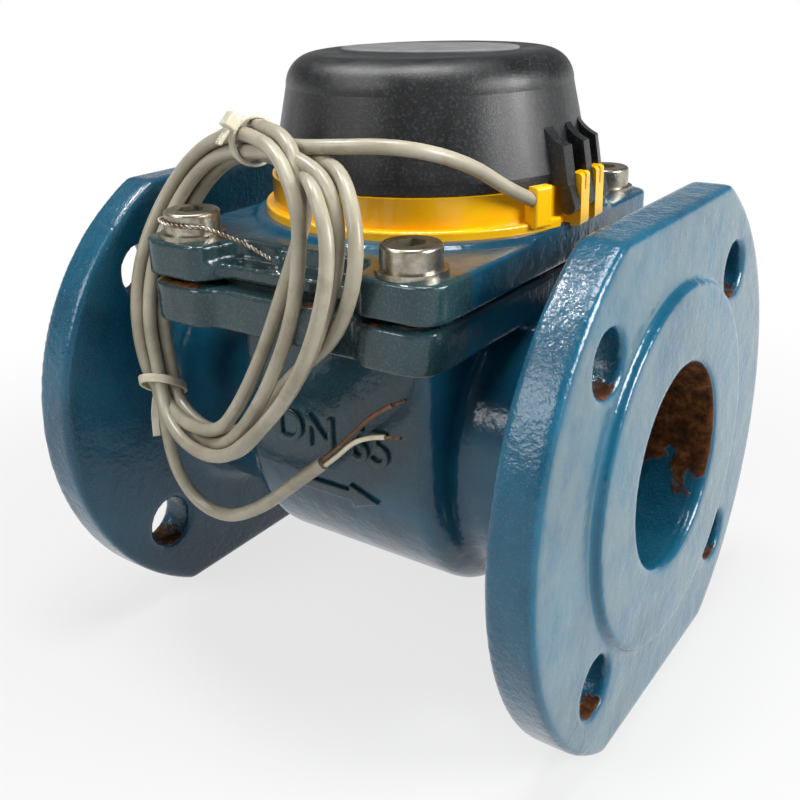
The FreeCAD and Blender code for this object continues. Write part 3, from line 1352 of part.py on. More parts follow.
def tube(name, points, diameter):
    wire, radii = route_wire(points)
    start = Vector(*points[0])
    section = Part.Wire([Part.Circle(start, Vector(*points[1]) - start, diameter / 2).toShape()])
    solid = wire.makePipeShell([section], True, False)
    expected = math.pi * diameter ** 2 / 4 * wire.Length
    print(name, "length", round(wire.Length, 1), "radii", [round(r, 1) for r in radii],
          "volume share", round(solid.Volume / expected, 4))
    return solid


def coil_section(index):
    """Oval outline of the coil across its run at one station."""
    count = len(COIL_STATIONS)
    middle = Vector(*COIL_STATIONS[index][0])
    before = Vector(*COIL_STATIONS[index - 1][0])
    after = Vector(*COIL_STATIONS[(index + 1) % count][0])
    for first, second in (UPPER_TIE_SPAN, LOWER_TIE_SPAN):
        if index in (first, second):
            before = Vector(*COIL_STATIONS[first][0])
            after = Vector(*COIL_STATIONS[second][0])
    along = (after - before).normalize()
    centre = sum((Vector(*s[0]) for s in COIL_STATIONS), Vector(0, 0, 0)) * (1 / count)
    outward = middle - centre
    outward = (outward - along * outward.dot(along)).normalize()
    across = along.cross(outward)
    wide = COIL_STATIONS[index][1]
    deep = COIL_STATIONS[index][2]
    frame = Matrix(outward.x * wide, across.x * deep, along.x, middle.x,
                   outward.y * wide, across.y * deep, along.y, middle.y,
                   outward.z * wide, across.z * deep, along.z, middle.z, 0, 0, 0, 1)
    sides = 16
    points = [frame.multVec(Vector(math.cos(2 * math.pi * i / sides), math.sin(2 * math.pi * i / sides), 0))
              for i in range(sides)]
    return Part.makePolygon(points + points[:1])


def lead_route():
    """The lead's route: straight out of the exit block, then along the chosen points to the coil."""
    point, direction = exit_line()
    turn = Rotation(Vector(0, 0, 1), REGISTER_TURN)
    start = turn.multVec(point) + Vector(REGISTER_X, REGISTER_Y, 0)
    ahead = start + turn.multVec(direction) * EXIT_RUN
    return [(p.x, p.y, p.z) for p in (start, ahead)] + LEAD_ROUTE


def core_route(side, points):
    """A core's route: side by side with the other, straight out of the sheath's end face."""
    last = Vector(*TAIL_ROUTE[-1])
    along = (last - Vector(*TAIL_ROUTE[-2])).normalize()
    across = along.cross(Vector(0, -1, 0)).normalize()
    start = last + across * (side * CORE_SPACING / 2)
    ahead = start + along * CORE_RUN
    return [(p.x, p.y, p.z) for p in (start, ahead)] + points


def cable_coil():
    """Outer shape of the coiled cable, a ring of ruled spans in two halves."""
    count = len(COIL_STATIONS)
    half = count // 2
    sections = [coil_section(i) for i in range(count)]
    first = Part.makeLoft(sections[:half + 1], True, True)
    second = Part.makeLoft(sections[half:] + sections[:1], True, True)
    return joined([first, second])


def cable_tie(span, tail_turn):
    """Tie round the coil: a flat band, a square head and a cut tail."""
    low = Vector(*COIL_STATIONS[span[0]][0])
    high = Vector(*COIL_STATIONS[span[1]][0])
    along = (high - low).normalize()
    middle = (low + high) * 0.5
    radius = COIL_STATIONS[span[0]][1] + TIE_GAP
    start = middle - along * (TIE_WIDTH / 2)
    band = Part.makeCylinder(radius + TIE_THICK, TIE_WIDTH, start, along)
    centre = sum((Vector(*s[0]) for s in COIL_STATIONS), Vector(0, 0, 0)) * (1 / len(COIL_STATIONS))
    outward = middle - centre
    outward = (outward - along * outward.dot(along)).normalize()
    outward = Rotation(along, math.degrees(tail_turn)).multVec(outward)
    across = along.cross(outward)
    frame = Matrix(outward.x, across.x, along.x, middle.x, outward.y, across.y, along.y, middle.y,
                   outward.z, across.z, along.z, middle.z, 0, 0, 0, 1)
    half = TIE_HEAD / 2
    head = block(radius + TIE_THICK / 2, radius + TIE_HEAD_RISE, -half, half, -half, half)
    tail = block(radius + TIE_TAIL_LIFT, radius + TIE_TAIL_LIFT + TIE_THICK, half - 0.5, half + TIE_TAIL,
                 -TIE_WIDTH / 2, TIE_WIDTH / 2)
    extras = [shape.transformed(frame) for shape in (head, tail)]
    solid = joined([band] + extras)
    return solid.cut(Part.makeCylinder(radius, TIE_HEAD * 2, middle - along * TIE_HEAD, along))


def bare_strand(route):
    """Bare end of a core, straight on from its last run."""
    end = Vector(*route[-1])
    return Part.makeCylinder(STRAND_DIA / 2, STRAND_LENGTH, end, end - Vector(*route[-2]))


def core_ends():
    return Part.Compound([bare_strand(WHITE_ROUTE), bare_strand(BROWN_ROUTE)])


def build():
    places = arbor_places()
    nodes = {
        "meter_body": meter_body(),
        "body_deck": body_deck(),
        "inlet_flange": inlet_flange(),
        "outlet_flange": outlet_flange(),
        "cover_plate": cover_plate(),
        "cover_gasket": cover_gasket(),
        "cover_screws": cover_screws(),
        "cover_washers": cover_washers(),
        "seal_wire": seal_wire(),
        "insert_housing": insert_housing(),
        "insert_screws": insert_screws(),
        "gear_housing": gear_housing(),
        "hub_cover": hub_cover(),
        "outlet_spider": outlet_spider(),
        "front_bearing": bush(*front_bush_span()),
        "rear_bearing": bush(*rear_bush_span()),
        "rotor": rotor(),
        "rotor_shaft": rotor_shaft(),
        "drive_worm": drive_worm(),
        "worm_wheel": worm_wheel(),
        "upright_shaft": upright_shaft(),
        "foot_bearing": upright_bush(*foot_bush_span()),
        "head_bearing": upright_bush(HEAD_PLATE_BASE + 1, COVER_BASE + 1),
        "drive_magnet": drive_magnet(),
        "pressure_cup": pressure_cup(),
        "cup_seal": cup_seal(),
        "register_can": register_can(),
        "window_gasket": window_gasket(),
        "register_window": register_window(),
        "window_bezel": window_bezel(),
        "counter_frame": counter_frame(),
        "dial_plate": dial_plate(),
        "register_input": register_input(),
        "follower_magnet": follower_magnet(),
        "flow_star": flow_star(),
        "first_wheel": first_wheel(),
        "first_pointer": pointer(places[1]),
        "second_wheel": second_wheel(),
        "second_pointer": pointer(places[2]),
        "drum_axle": drum_axle(),
        "retaining_ring": retaining_ring(),
        "register_lid": register_lid(),
        "hinge_pin": hinge_pin(),
        "pulse_sensor": pulse_sensor(),
        "cable_lead": tube("cable_lead", lead_route(), CABLE_DIA),
        "cable_coil": cable_coil(),
        "cable_tail": tube("cable_tail", TAIL_ROUTE, CABLE_DIA),
        "white_core": tube("white_core", core_route(1, WHITE_ROUTE), CORE_DIA),
        "brown_core": tube("brown_core", core_route(-1, BROWN_ROUTE), CORE_DIA),
        "core_ends": core_ends(),
        "upper_tie": cable_tie(UPPER_TIE_SPAN, math.radians(60)),
        "lower_tie": cable_tie(LOWER_TIE_SPAN, math.radians(-40)),
    }
    for index in range(DRUM_COUNT):
        nodes["number_drum_" + str(index + 1)] = number_drum(DRUM_COUNT - 1 - index)
    return nodes


os.makedirs("parts", exist_ok=True)
for name, shape in build().items():
    placed = moved(shape, 0, 0, AXIS_HEIGHT)
    print(name, "solids", len(placed.Solids), "valid", placed.isValid(), "volume", round(placed.Volume, 1))
    placed.exportStep("parts/" + name + ".step")
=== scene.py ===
# %% [markdown]
# # A flanged turbine water meter, dressed in Blender
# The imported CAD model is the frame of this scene: it brings every solid in at its true size and place,
# in metres, and nothing here moves it. Blender adds what a CAD kernel is poor at: painted iron, moulded
# plastic, a loosely coiled signal cable, a twisted sealing wire and the print on the dial.

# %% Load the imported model
import math
import bmesh
import bpy
from mathutils import Matrix, Vector
from mathutils.bvhtree import BVHTree


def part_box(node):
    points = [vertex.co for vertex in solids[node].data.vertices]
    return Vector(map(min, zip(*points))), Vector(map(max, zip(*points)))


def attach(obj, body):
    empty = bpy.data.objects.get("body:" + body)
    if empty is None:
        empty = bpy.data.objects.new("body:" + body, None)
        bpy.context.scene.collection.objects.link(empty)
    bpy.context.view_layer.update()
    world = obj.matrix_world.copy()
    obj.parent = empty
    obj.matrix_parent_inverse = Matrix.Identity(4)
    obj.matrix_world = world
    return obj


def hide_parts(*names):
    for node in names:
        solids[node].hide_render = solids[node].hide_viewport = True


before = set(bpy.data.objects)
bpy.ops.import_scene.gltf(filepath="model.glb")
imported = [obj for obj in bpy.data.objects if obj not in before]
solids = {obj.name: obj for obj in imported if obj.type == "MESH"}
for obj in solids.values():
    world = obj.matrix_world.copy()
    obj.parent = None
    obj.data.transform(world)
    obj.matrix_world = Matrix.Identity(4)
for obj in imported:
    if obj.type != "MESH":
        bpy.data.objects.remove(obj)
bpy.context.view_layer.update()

# %% [markdown]
# ## One ruler for the whole scene
# The meter was measured from its pipe axis in millimetres, and the frame counts metres from the ground.
# A single small function turns one into the other, so that every number below can be read off a drawing.

# %% From drawing millimetres to scene metres
PIPE_AXIS_MM = 82.0
PIPE_AXIS = PIPE_AXIS_MM / 1000


def spot(x, y, z):
    return Vector((x, y, z + PIPE_AXIS_MM)) / 1000


def spots(*places):
    return [spot(*place) for place in places]


print("pipe axis stands at", PIPE_AXIS, "m")

# %% [markdown]
# ## The photographer's place
# The camera could be turned by eye until the flanges line up. It is steadier to solve for it: bolt holes,
# bore and flange rims were measured in the picture, and azimuth, elevation, roll and lens came from a fit.

# %% Camera
AZIMUTH = math.radians(35.41)
ELEVATION = math.radians(19.03)
ROLL = math.radians(-1.58)
CAMERA_PLACE = (0.1965, -0.2859, 0.2331)
SENSOR_MM, LENS_MM, LENS_SHIFT, NEAREST_SEEN = 36.0, 45.96, -0.1, 0.02


def linked(name, data):
    """A new object at the origin, shown in the scene."""
    thing = bpy.data.objects.new(name, data)
    bpy.context.collection.objects.link(thing)
    return thing


backward = Vector((math.sin(AZIMUTH) * math.cos(ELEVATION), -math.cos(AZIMUTH) * math.cos(ELEVATION),
                   math.sin(ELEVATION)))
level_right = Vector((0, 0, 1)).cross(backward).normalized()
level_up = backward.cross(level_right)
rolled_right = level_right * math.cos(ROLL) + level_up * math.sin(ROLL)
rolled_up = level_up * math.cos(ROLL) - level_right * math.sin(ROLL)

lens = bpy.data.cameras.new("camera")
lens.sensor_width = SENSOR_MM
lens.lens = LENS_MM
lens.shift_y = LENS_SHIFT
lens.clip_start = NEAREST_SEEN
camera = linked("camera", lens)
camera.matrix_world = (Matrix.Translation(CAMERA_PLACE)
                       @ Matrix((rolled_right, rolled_up, backward)).transposed().to_4x4())
bpy.context.scene.camera = camera
print("camera looks along", [round(v, 3) for v in -backward])

# %% [markdown]
# ## Adding one node
# Materials, the sky and Geometry Nodes are all trees of nodes, and Blender takes several lines to add, set
# and plug in one node. A small class does that for every kind of tree, so each node is a single call.

# %% The Nodes class
class Nodes:
    def __init__(self, tree):
        self.tree = tree

    def plug(self, socket, value):
        """Links another node's output to the socket, or sets it; a colour may come as three numbers."""
        if isinstance(value, bpy.types.NodeSocket):
            self.tree.links.new(value, socket)
        elif socket.type == "RGBA" and len(value) == 3:
            socket.default_value = (*value, 1.0)
        else:
            socket.default_value = value

    def add(self, kind, wires=None, **settings):
        """Adds a node and gives its outputs. wires holds inputs by name or number, settings properties."""
        node = self.tree.nodes.new(kind)
        for key, value in settings.items():
            setattr(node, key, value)
        for socket, value in (wires or {}).items():
            self.plug(node.inputs[socket], value)
        return node.outputs

    def reckon(self, operation, first, second=0.0):
        return self.add("ShaderNodeMath", {0: first, 1: second}, operation=operation)["Value"]

    def times(self, first, second):
        return self.reckon("MULTIPLY", first, second)

    def distance(self, first, second):
        return self.reckon("SQRT", self.reckon("ADD", self.times(first, first), self.times(second, second)))

    def axis(self, letter, of):
        return self.add("ShaderNodeSeparateXYZ", {"Vector": of})[letter]

    def fade(self, value, low, high, at_low=0.0, at_high=1.0):
        wires = {"Value": value, "From Min": low, "From Max": high, "To Min": at_low, "To Max": at_high}
        return self.add("ShaderNodeMapRange", wires, interpolation_type="SMOOTHSTEP")["Result"]


print("node class ready")

# %% [markdown]
# ## A short language for finishes
# Each finish is one Principled shader fed by noise, ramps and arithmetic on Object coordinates. Every solid
# sits at the origin, so one pattern runs across all of them. A flat colour would look painted on, so
# mottled gives most pieces an uneven tone and a fine grain.

# %% The Finish class
class Finish(Nodes):
    def __init__(self, name, **sockets):
        self.material = bpy.data.materials.new(name)
        self.material.use_nodes = True
        super().__init__(self.material.node_tree)
        self.shader = self.tree.nodes["Principled BSDF"]
        self.place = self.add("ShaderNodeTexCoord")["Object"]
        self.normal = None
        for socket, value in sockets.items():
            self.feed(socket.replace("_", " "), value)

    def feed(self, socket, value):
        self.plug(self.shader.inputs[socket], value)

    def noise(self, per_metre, detail=2.0, rough=0.5, over=None):
        wires = {"Vector": over or self.place, "Scale": per_metre, "Detail": detail, "Roughness": rough}
        return self.add("ShaderNodeTexNoise", wires)["Fac"]

    def ramp(self, value, *stops):
        colours = self.add("ShaderNodeValToRGB", {"Fac": value})["Color"]
        ends = colours.node.color_ramp.elements
        while len(ends) < len(stops):
            ends.new(0.5)
        for end, (position, colour) in zip(ends, stops):
            end.position = position
            end.color = (*colour, 1.0)
        return colours

    def mix(self, share, under, over):
        return self.add("ShaderNodeMix", {0: share, 6: under, 7: over}, data_type="RGBA")[2]

    def bump(self, height, depth, strength):
        wires = {"Height": height, "Distance": depth, "Strength": strength}
        if self.normal is not None:
            wires["Normal"] = self.normal
        self.normal = self.add("ShaderNodeBump", wires)["Normal"]
        self.feed("Normal", self.normal)


def mottled(name, per_metre, detail, dark, light, grain=None, **sockets):
    """A finish between two tones. grain gives the bump's marks per metre, its depth and its strength."""
    made = Finish(name, **sockets)
    made.feed("Base Color", made.ramp(made.noise(per_metre, detail), (0.3, dark), (0.7, light)))
    if grain:
        made.bump(made.noise(grain[0]), *grain[1:])
    return made


def dress(finish, *names):
    """Gives a finish to CAD solids."""
    for name in names:
        for place in solids[name].material_slots:
            place.material = finish.material
        if not solids[name].material_slots:
            solids[name].data.materials.append(finish.material)


print("finish class ready")

# %% [markdown]
# ## Signal cable finish
# The cable has a soft beige-grey jacket that has picked up handling marks. A flat grey would read as pipe,
# so slow noise shifts its tone, finer noise dirties it and a faint bump gives the extruded skin.

# %% Cable jacket
jacket = Finish("cable_jacket", Roughness=0.34)
jacket_tone = jacket.ramp(jacket.noise(45, 3.0), (0.30, (0.30, 0.265, 0.190)), (0.70, (0.47, 0.435, 0.338)))
jacket_dirt = jacket.fade(jacket.noise(170, 4.0, 0.60), 0.48, 0.75, 0.0, 0.40)
jacket.feed("Base Color", jacket.mix(jacket_dirt, jacket_tone, (0.19, 0.155, 0.105)))
jacket.bump(jacket.noise(900), 0.00006, 0.5)
print("made", jacket.material.name)

# %% [markdown]
# ## The coil's stations
# Someone wound the spare cable round a hand and tied it twice. The loop hangs in front of the body and fans
# out on the right. A helix would look machine-made, so the loop is seventeen stations read from the
# picture.

# %% Stations of the hanging loop
LOOP = spots((-20, -58.6, 103), (-12, -61.4, 103.6), (6, -69, 101.6), (20, -76.2, 94), (26.5, -79.6, 80),
             (16.6, -80.2, 59.4), (5, -80.2, 39.7), (-6.9, -80, 23.7), (-19, -79, 9.5), (-36, -76, 5.6),
             (-51, -71.5, 8.6), (-58.5, -68.2, 13.8), (-61.5, -66.4, 21), (-66.5, -64.8, 40),
             (-67, -58.5, 61), (-60.5, -48.5, 82), (-42, -50.5, 97))
UPPER_TIE, LOWER_TIE = (0, 1), (11, 12)
loop_middle = sum(LOOP, Vector()) / len(LOOP)


def loop_axes(station):
    """Outward and frontward directions of the loop at a station, and the direction it runs in."""
    pair = [tie for tie in (UPPER_TIE, LOWER_TIE) if station in tie]
    if pair:
        run = LOOP[pair[0][1]] - LOOP[pair[0][0]]
    else:
        run = LOOP[(station + 1) % len(LOOP)] - LOOP[station - 1]
    run.normalize()
    outward = LOOP[station] - loop_middle
    outward = (outward - run * outward.dot(run)).normalized()
    return outward, run.cross(outward), run


def strand(station, outward_mm, front_mm):
    outward, front, run = loop_axes(station)
    return LOOP[station] + (outward * outward_mm + front * front_mm) / 1000


print("loop of", len(LOOP), "stations, middle", [round(v, 3) for v in loop_middle])

# %% [markdown]
# ## Where each strand lies
# Six strands pass the ties, one in the middle and five round it, as round wires pack. On the right they
# spread: each row below is a station, and each pair is how far a strand lies outward and to the front
# there, in millimetres, so that crossing strands clear each other.

# %% The fan of the loose turns
CABLE_MM, FULL_TURNS = 4.4, 5
PACKED = [(0.0, 0.0)] + [(CABLE_MM * math.sin(math.radians(a)), CABLE_MM * math.cos(math.radians(a)))
                         for a in (92, 308, 236, 164, 20)]
LOOSE_LEFT = {16: 1.0, 15: 1.12, 14: 1.15, 13: 1.05, 12: 1.0}
FAN = {
    9: [(-4.5, 1.8), (4.6, -0.5), (1.6, 3.8), (-3.5, -3.0), (0.5, -1.5)],
    8: [(-4.4, 1.5), (4.1, -1.6), (4.6, 3.2), (-2.5, -4.4), (0.2, 0.8)],
    7: [(-4.8, 1.0), (5.9, -2.0), (8.4, 2.4), (-1.7, -6.0), (3.5, 2.2)],
    6: [(-9.2, -0.5), (7.3, -2.3), (11.0, 2.2), (0.6, -6.6), (2.3, 2.4)],
    5: [(-13.4, -1.5), (7.3, -2.3), (11.0, 2.2), (10.4, -6.4), (-0.6, 2.4)],
    4: [(-16.0, -2.2), (3.2, -2.2), (4.8, 2.1), (11.5, -2.4), (-9.6, 2.4)],
    3: [(-7.1, -1.2), (5.1, -2.6), (3.0, 1.8), (8.1, -6.0), (-4.9, 3.0)],
    2: [(5.0, 1.5), (1.0, 0.4), (-3.0, -3.8), (0.5, -9.0), (1.3, 4.6)],
}


def left_run(turn):
    """Down the left side, from the upper tie to the lower one."""
    u, v = PACKED[turn]
    looser = [strand(station, u * loose, v * loose) for station, loose in LOOSE_LEFT.items()]
    return [strand(0, u, v)] + looser


def right_run(turn):
    """Round the bottom and up the right side, from the lower tie to the upper one."""
    u, v = PACKED[turn]
    low = FAN[9][turn]
    points = [strand(11, u, v), strand(10, (u + low[0]) / 2, (v + low[1]) / 2)]
    points += [strand(station, *FAN[station][turn]) for station in FAN]
    return points + [strand(1, *PACKED[turn + 1])]


coil = []
for turn in range(FULL_TURNS):
    coil += left_run(turn) + right_run(turn)
coil += left_run(FULL_TURNS)
print(len(coil), "control points in five and a half turns")

# %% [markdown]
# ## One cable from the register to its bare end
# The lead leaves the yellow ring's outlet and joins the loop at the upper tie; the tail leaves the lower
# tie and ends, stripped, in front of the body. All of it is one NURBS spline, whose control points pull on
# a smooth line, so that no corner shows as a kink.

# %% Cable
CABLE_DIAMETER = 0.0044
LEAD = spots((55.27, -10.65, 81.7), (52.09, -18.65, 85.71), (50, -26, 89.8), (47, -36.5, 96.6),
             (42.5, -50.5, 102.5), (33, -60, 105.2), (19, -64.5, 104.6), (4, -64, 103.4), (-9, -61.2, 103.3))
TAIL = spots((-60.6, -67.2, 15), (-58.8, -69, 3), (-54.5, -70.5, -12), (-44.5, -71.2, -22),
             (-30, -71.5, -23.6), (-14.5, -71.5, -15.5), (0, -71.2, -3), (13.3, -70.6, 8.4))


def cord_curve(name, points, diameter, finish, smoothness=7):
    curve = bpy.data.curves.new(name, "CURVE")
    curve.dimensions = "3D"
    curve.bevel_depth = diameter / 2
    curve.bevel_resolution = 4
    curve.use_fill_caps = True
    spline = curve.splines.new("NURBS")
    spline.points.add(len(points) - 1)
    for control, point in zip(spline.points, points):
        control.co = (*point, 1.0)
    spline.order_u = 3
    spline.use_endpoint_u = True
    spline.resolution_u = smoothness
    curve.materials.append(finish.material)
    return linked(name, curve)


cable = cord_curve("signal_cable", LEAD + coil + TAIL, CABLE_DIAMETER, jacket)

# %% [markdown]
# ## The two cores
# At the far end two thin cores part, a white one that runs level and a brown one that climbs. They are
# short cords of their own, thinner than the cable.

# %% Cores
CORE_DIAMETER = 0.0015
CORE_GRAIN = (2500, 0.00003, 0.4)
white = mottled("core_white", 300, 3.0, (0.62, 0.54, 0.36), (0.78, 0.71, 0.53), CORE_GRAIN, Roughness=0.38)
brown = mottled("core_brown", 300, 3.0, (0.10, 0.038, 0.014), (0.19, 0.080, 0.032), CORE_GRAIN,
                Roughness=0.40)
WHITE_CORE = spots((13.89, -70.6, 7.72), (19.2, -70.36, 12.27), (26.4, -72.4, 19.4), (33.4, -72, 22.8),
                   (37.6, -71.4, 23.4))
BROWN_CORE = spots((12.71, -70.6, 9.08), (18.03, -70.36, 13.64), (25.4, -69.6, 21.6), (32.4, -69, 29),
                   (39, -69.2, 33))
white_core = cord_curve("white_wire", WHITE_CORE, CORE_DIAMETER, white)
brown_core = cord_curve("brown_wire", BROWN_CORE, CORE_DIAMETER, brown)
print("cores", [round(c.data.splines[0].calc_length() * 1000, 1) for c in (white_core, brown_core)], "mm")

# %% [markdown]
# ## Sweeping a section along a line
# Bands and strands are a small closed section carried along a line of points. A curve's bevel does that for
# round sections; a hand-made sweep also takes flat ones.

# %% Sweep helper
def join_rings(bm, rings):
    """Faces from each closed ring of vertices to the next."""
    count = len(rings[0])
    for here, there in zip(rings, rings[1:]):
        for k in range(count):
            bm.faces.new((here[k], here[(k + 1) % count], there[(k + 1) % count], there[k]))


def sweep(bm, line, section, sideways, closed=False):
    """Adds a tube to bm. section lists (across, up) offsets; sideways gives a point's across direction."""
    rings = []
    for i, point in enumerate(line):
        ahead = line[(i + 1) % len(line)] if closed or i + 1 < len(line) else point
        behind = line[i - 1] if closed or i else point
        run = (ahead - behind).normalized()
        across = sideways(i)
        across = (across - run * across.dot(run)).normalized()
        up = run.cross(across)
        rings.append([bm.verts.new(point + across * a + up * b) for a, b in section])
    join_rings(bm, rings + rings[:1] if closed else rings)
    if not closed:
        bm.faces.new(rings[0][::-1])
        bm.faces.new(rings[-1])


def round_section(radius, sides):
    angles = [2 * math.pi * k / sides for k in range(sides)]
    return [(radius * math.cos(angle), radius * math.sin(angle)) for angle in angles]


def flat_section(width, height, edge):
    w, h = width / 2, height / 2
    return [(w - edge, -h), (w, -h + edge), (w, h - edge), (w - edge, h),
            (-w + edge, h), (-w, h - edge), (-w, -h + edge), (-w + edge, -h)]


def piece(name, bm, finish, smooth=True):
    """The finished bmesh as an object of the scene."""
    bmesh.ops.recalc_face_normals(bm, faces=bm.faces)
    mesh = bpy.data.meshes.new(name)
    bm.to_mesh(mesh)
    bm.free()
    mesh.materials.append(finish.material)
    if smooth:
        mesh.shade_smooth()
    return linked(name, mesh)


print("sweep helper ready")

# %% [markdown]
# ## Bare copper ends
# Six millimetres of each core are stripped. The copper is a few fine strands with a slight lay, so each one
# is swept on its own round the line that the core points in.

# %% Copper strands
copper = mottled("bare_copper", 800, 3.0, (0.06, 0.035, 0.022), (0.24, 0.13, 0.07), (3000, 0.00003, 0.5),
                 Metallic=1.0, Roughness=0.38)
STRANDS, STRAND_RADIUS, STRAND_RING = 7, 0.00014, 0.00028
STRIPPED, TUCKED_IN = 0.0060, 0.0006
STRAND_STEPS, LAY_PER_STEP, SPREAD_PER_STEP = 8, 0.28, 0.05


def copper_end(bm, core):
    heading = (core[-1] - core[-2]).normalized()
    side = heading.orthogonal().normalized()
    other = heading.cross(side)
    for k in range(STRANDS):
        line = []
        for i in range(STRAND_STEPS + 1):
            turn = 2 * math.pi * k / (STRANDS - 1) + i * LAY_PER_STEP
            off_middle = STRAND_RING * (1 + SPREAD_PER_STEP * i) if k else 0.0
            on_line = core[-1] + heading * (STRIPPED * i / STRAND_STEPS - TUCKED_IN)
            line.append(on_line + (side * math.cos(turn) + other * math.sin(turn)) * off_middle)
        sweep(bm, line, round_section(STRAND_RADIUS, 6), lambda i: side)


copper_bm = bmesh.new()
for core in (WHITE_CORE, BROWN_CORE):
    copper_end(copper_bm, core)
copper_ends = piece("copper_strands", copper_bm, copper)
print("copper faces", len(copper_ends.data.polygons))

# %% [markdown]
# ## Geometry Nodes for what repeats
# Teeth on a tie, marks round a dial and the two strands of a sealing wire are one shape many times over.
# A node tree does that from named inputs. The class below sets inputs by socket identifier, evaluates the
# tree once and keeps a plain mesh, because live modifiers and instances do not travel to other programs.

# %% The Grower class
def frozen(thing):
    """What an object looks like under its modifiers, as a plain mesh; the object is used up."""
    bpy.context.view_layer.update()
    mesh = bpy.data.meshes.new_from_object(thing.evaluated_get(bpy.context.evaluated_depsgraph_get()))
    thing.modifiers.clear()
    bpy.data.objects.remove(thing)
    return mesh


class Grower(Nodes):
    def __init__(self, name, **inputs):
        super().__init__(bpy.data.node_groups.new(name, "GeometryNodeTree"))
        sockets = self.tree.interface
        sockets.new_socket("Geometry", in_out="INPUT", socket_type="NodeSocketGeometry")
        sockets.new_socket("Geometry", in_out="OUTPUT", socket_type="NodeSocketGeometry")
        for label, kind in inputs.items():
            sockets.new_socket(label, in_out="INPUT", socket_type="NodeSocket" + kind)
        self.given = self.add("NodeGroupInput")

    def close(self, shape, finish):
        whole = self.add("GeometryNodeRealizeInstances", {"Geometry": shape})[0]
        wires = {"Geometry": whole, "Material": finish.material}
        self.add("NodeGroupOutput", {"Geometry": self.add("GeometryNodeSetMaterial", wires)[0]})

    def grow(self, name, start=None, **values):
        """Runs the tree on an object, an empty one if none is given, and gives a plain mesh."""
        start = start or linked(name, bpy.data.meshes.new(name))
        modifier = start.modifiers.new("grow", "NODES")
        modifier.node_group = self.tree
        for item in self.tree.interface.items_tree:
            if item.item_type == "SOCKET" and item.in_out == "INPUT" and item.name in values:
                modifier[item.identifier] = values[item.name]
        mesh = frozen(start)
        mesh.name = name
        return mesh


print("grower class ready")

# %% [markdown]
# ## Cable ties
# Two cream nylon ties hold the loop. The head's rounded block and the tail's fine teeth are what tell a tie
# from a rubber band. The teeth are one small block copied along a line.

# %% Tie finish and tooth tree
nylon = mottled("tie_nylon", 180, 3.0, (0.62, 0.57, 0.42), (0.78, 0.74, 0.60), (1400, 0.00004, 0.5),
                Roughness=0.40, Subsurface_Weight=0.15, Subsurface_Scale=0.002)
teeth = Grower("strap_teeth", Count="Int", Pitch="Float", Tooth="Vector")
pitch = teeth.add("ShaderNodeCombineXYZ", {"Y": teeth.given["Pitch"]})[0]
row = teeth.add("GeometryNodeMeshLine", {"Count": teeth.given["Count"], "Offset": pitch})[0]
tooth = teeth.add("GeometryNodeMeshCube", {"Size": teeth.given["Tooth"]})[0]
teeth.close(teeth.add("GeometryNodeInstanceOnPoints", {"Points": row, "Instance": tooth})[0], nylon)
print("tooth tree of", len(teeth.tree.nodes), "nodes")

# %% [markdown]
# ## Band, head and tail
# A tie is built at the origin, where X points out of the coil and Z runs along it, and is then laid at its
# place in the loop. The strap is swept, and the head is a block with rounded edges.

# %% Pieces of a tie
TIE_INSIDE, TIE_WIDTH, TIE_THICK, TIE_EDGE = 0.0067, 0.0028, 0.0011, 0.00025
HEAD_SIZE, HEAD_DEPTH, HEAD_EDGE, HEAD_OUT = 0.0050, 0.0040, 0.0006, 0.0026
BAND_STEPS, TAIL_STEPS, TAIL_SMOOTHINGS = 72, 24, 12
STRAP = flat_section(TIE_WIDTH, TIE_THICK, TIE_EDGE)
ALONG_COIL = Vector((0, 0, 1))


def add_band(bm, lean):
    """The closed strap round the coil. Gives how far along the coil its head comes to lie."""
    outline = round_section(TIE_INSIDE + TIE_THICK / 2, BAND_STEPS)
    line = [Vector((x, y, lean.dot((x, y, 0)))) for x, y in outline]
    sweep(bm, line, STRAP, lambda i: ALONG_COIL, closed=True)
    return line[0].z


def add_head(bm, height):
    block = bmesh.ops.create_cube(bm, size=1.0, matrix=Matrix.LocRotScale(
        Vector((TIE_INSIDE + HEAD_OUT, 0, height)), None, Vector((HEAD_DEPTH, HEAD_SIZE, HEAD_SIZE))))
    edges = {edge for vert in block["verts"] for edge in vert.link_edges}
    bmesh.ops.bevel(bm, geom=list(edges), offset=HEAD_EDGE, segments=3, profile=0.5, affect="EDGES")


def tail_line(corners):
    """Points spread over the corners and smoothed, so that the strap bends and does not fold."""
    spans = len(corners) - 1
    line = []
    for k in range(TAIL_STEPS + 1):
        reach = k * spans / TAIL_STEPS
        i = min(int(reach), spans - 1)
        line.append(corners[i].lerp(corners[i + 1], reach - i))
    for smoothing in range(TAIL_SMOOTHINGS):
        between = [(line[i - 1] + line[i] * 2 + line[i + 1]) / 4 for i in range(1, TAIL_STEPS)]
        line = line[:1] + between + line[-1:]
    return line


print("strap section of", len(STRAP), "corners")

# %% [markdown]
# ## Tying the loop
# The upper tie's short tail stands off with its teeth in view. The lower tie leans, and its longer tail
# bends and twists as it hangs. A straight row of teeth would not follow that, so it goes without.

# %% Both ties
TAIL_OUT, TOOTH_PITCH, TOOTH_START = 0.0021, 0.0009, 0.0010
TOOTH = (0.00030, 0.0004, TIE_WIDTH * 0.62)


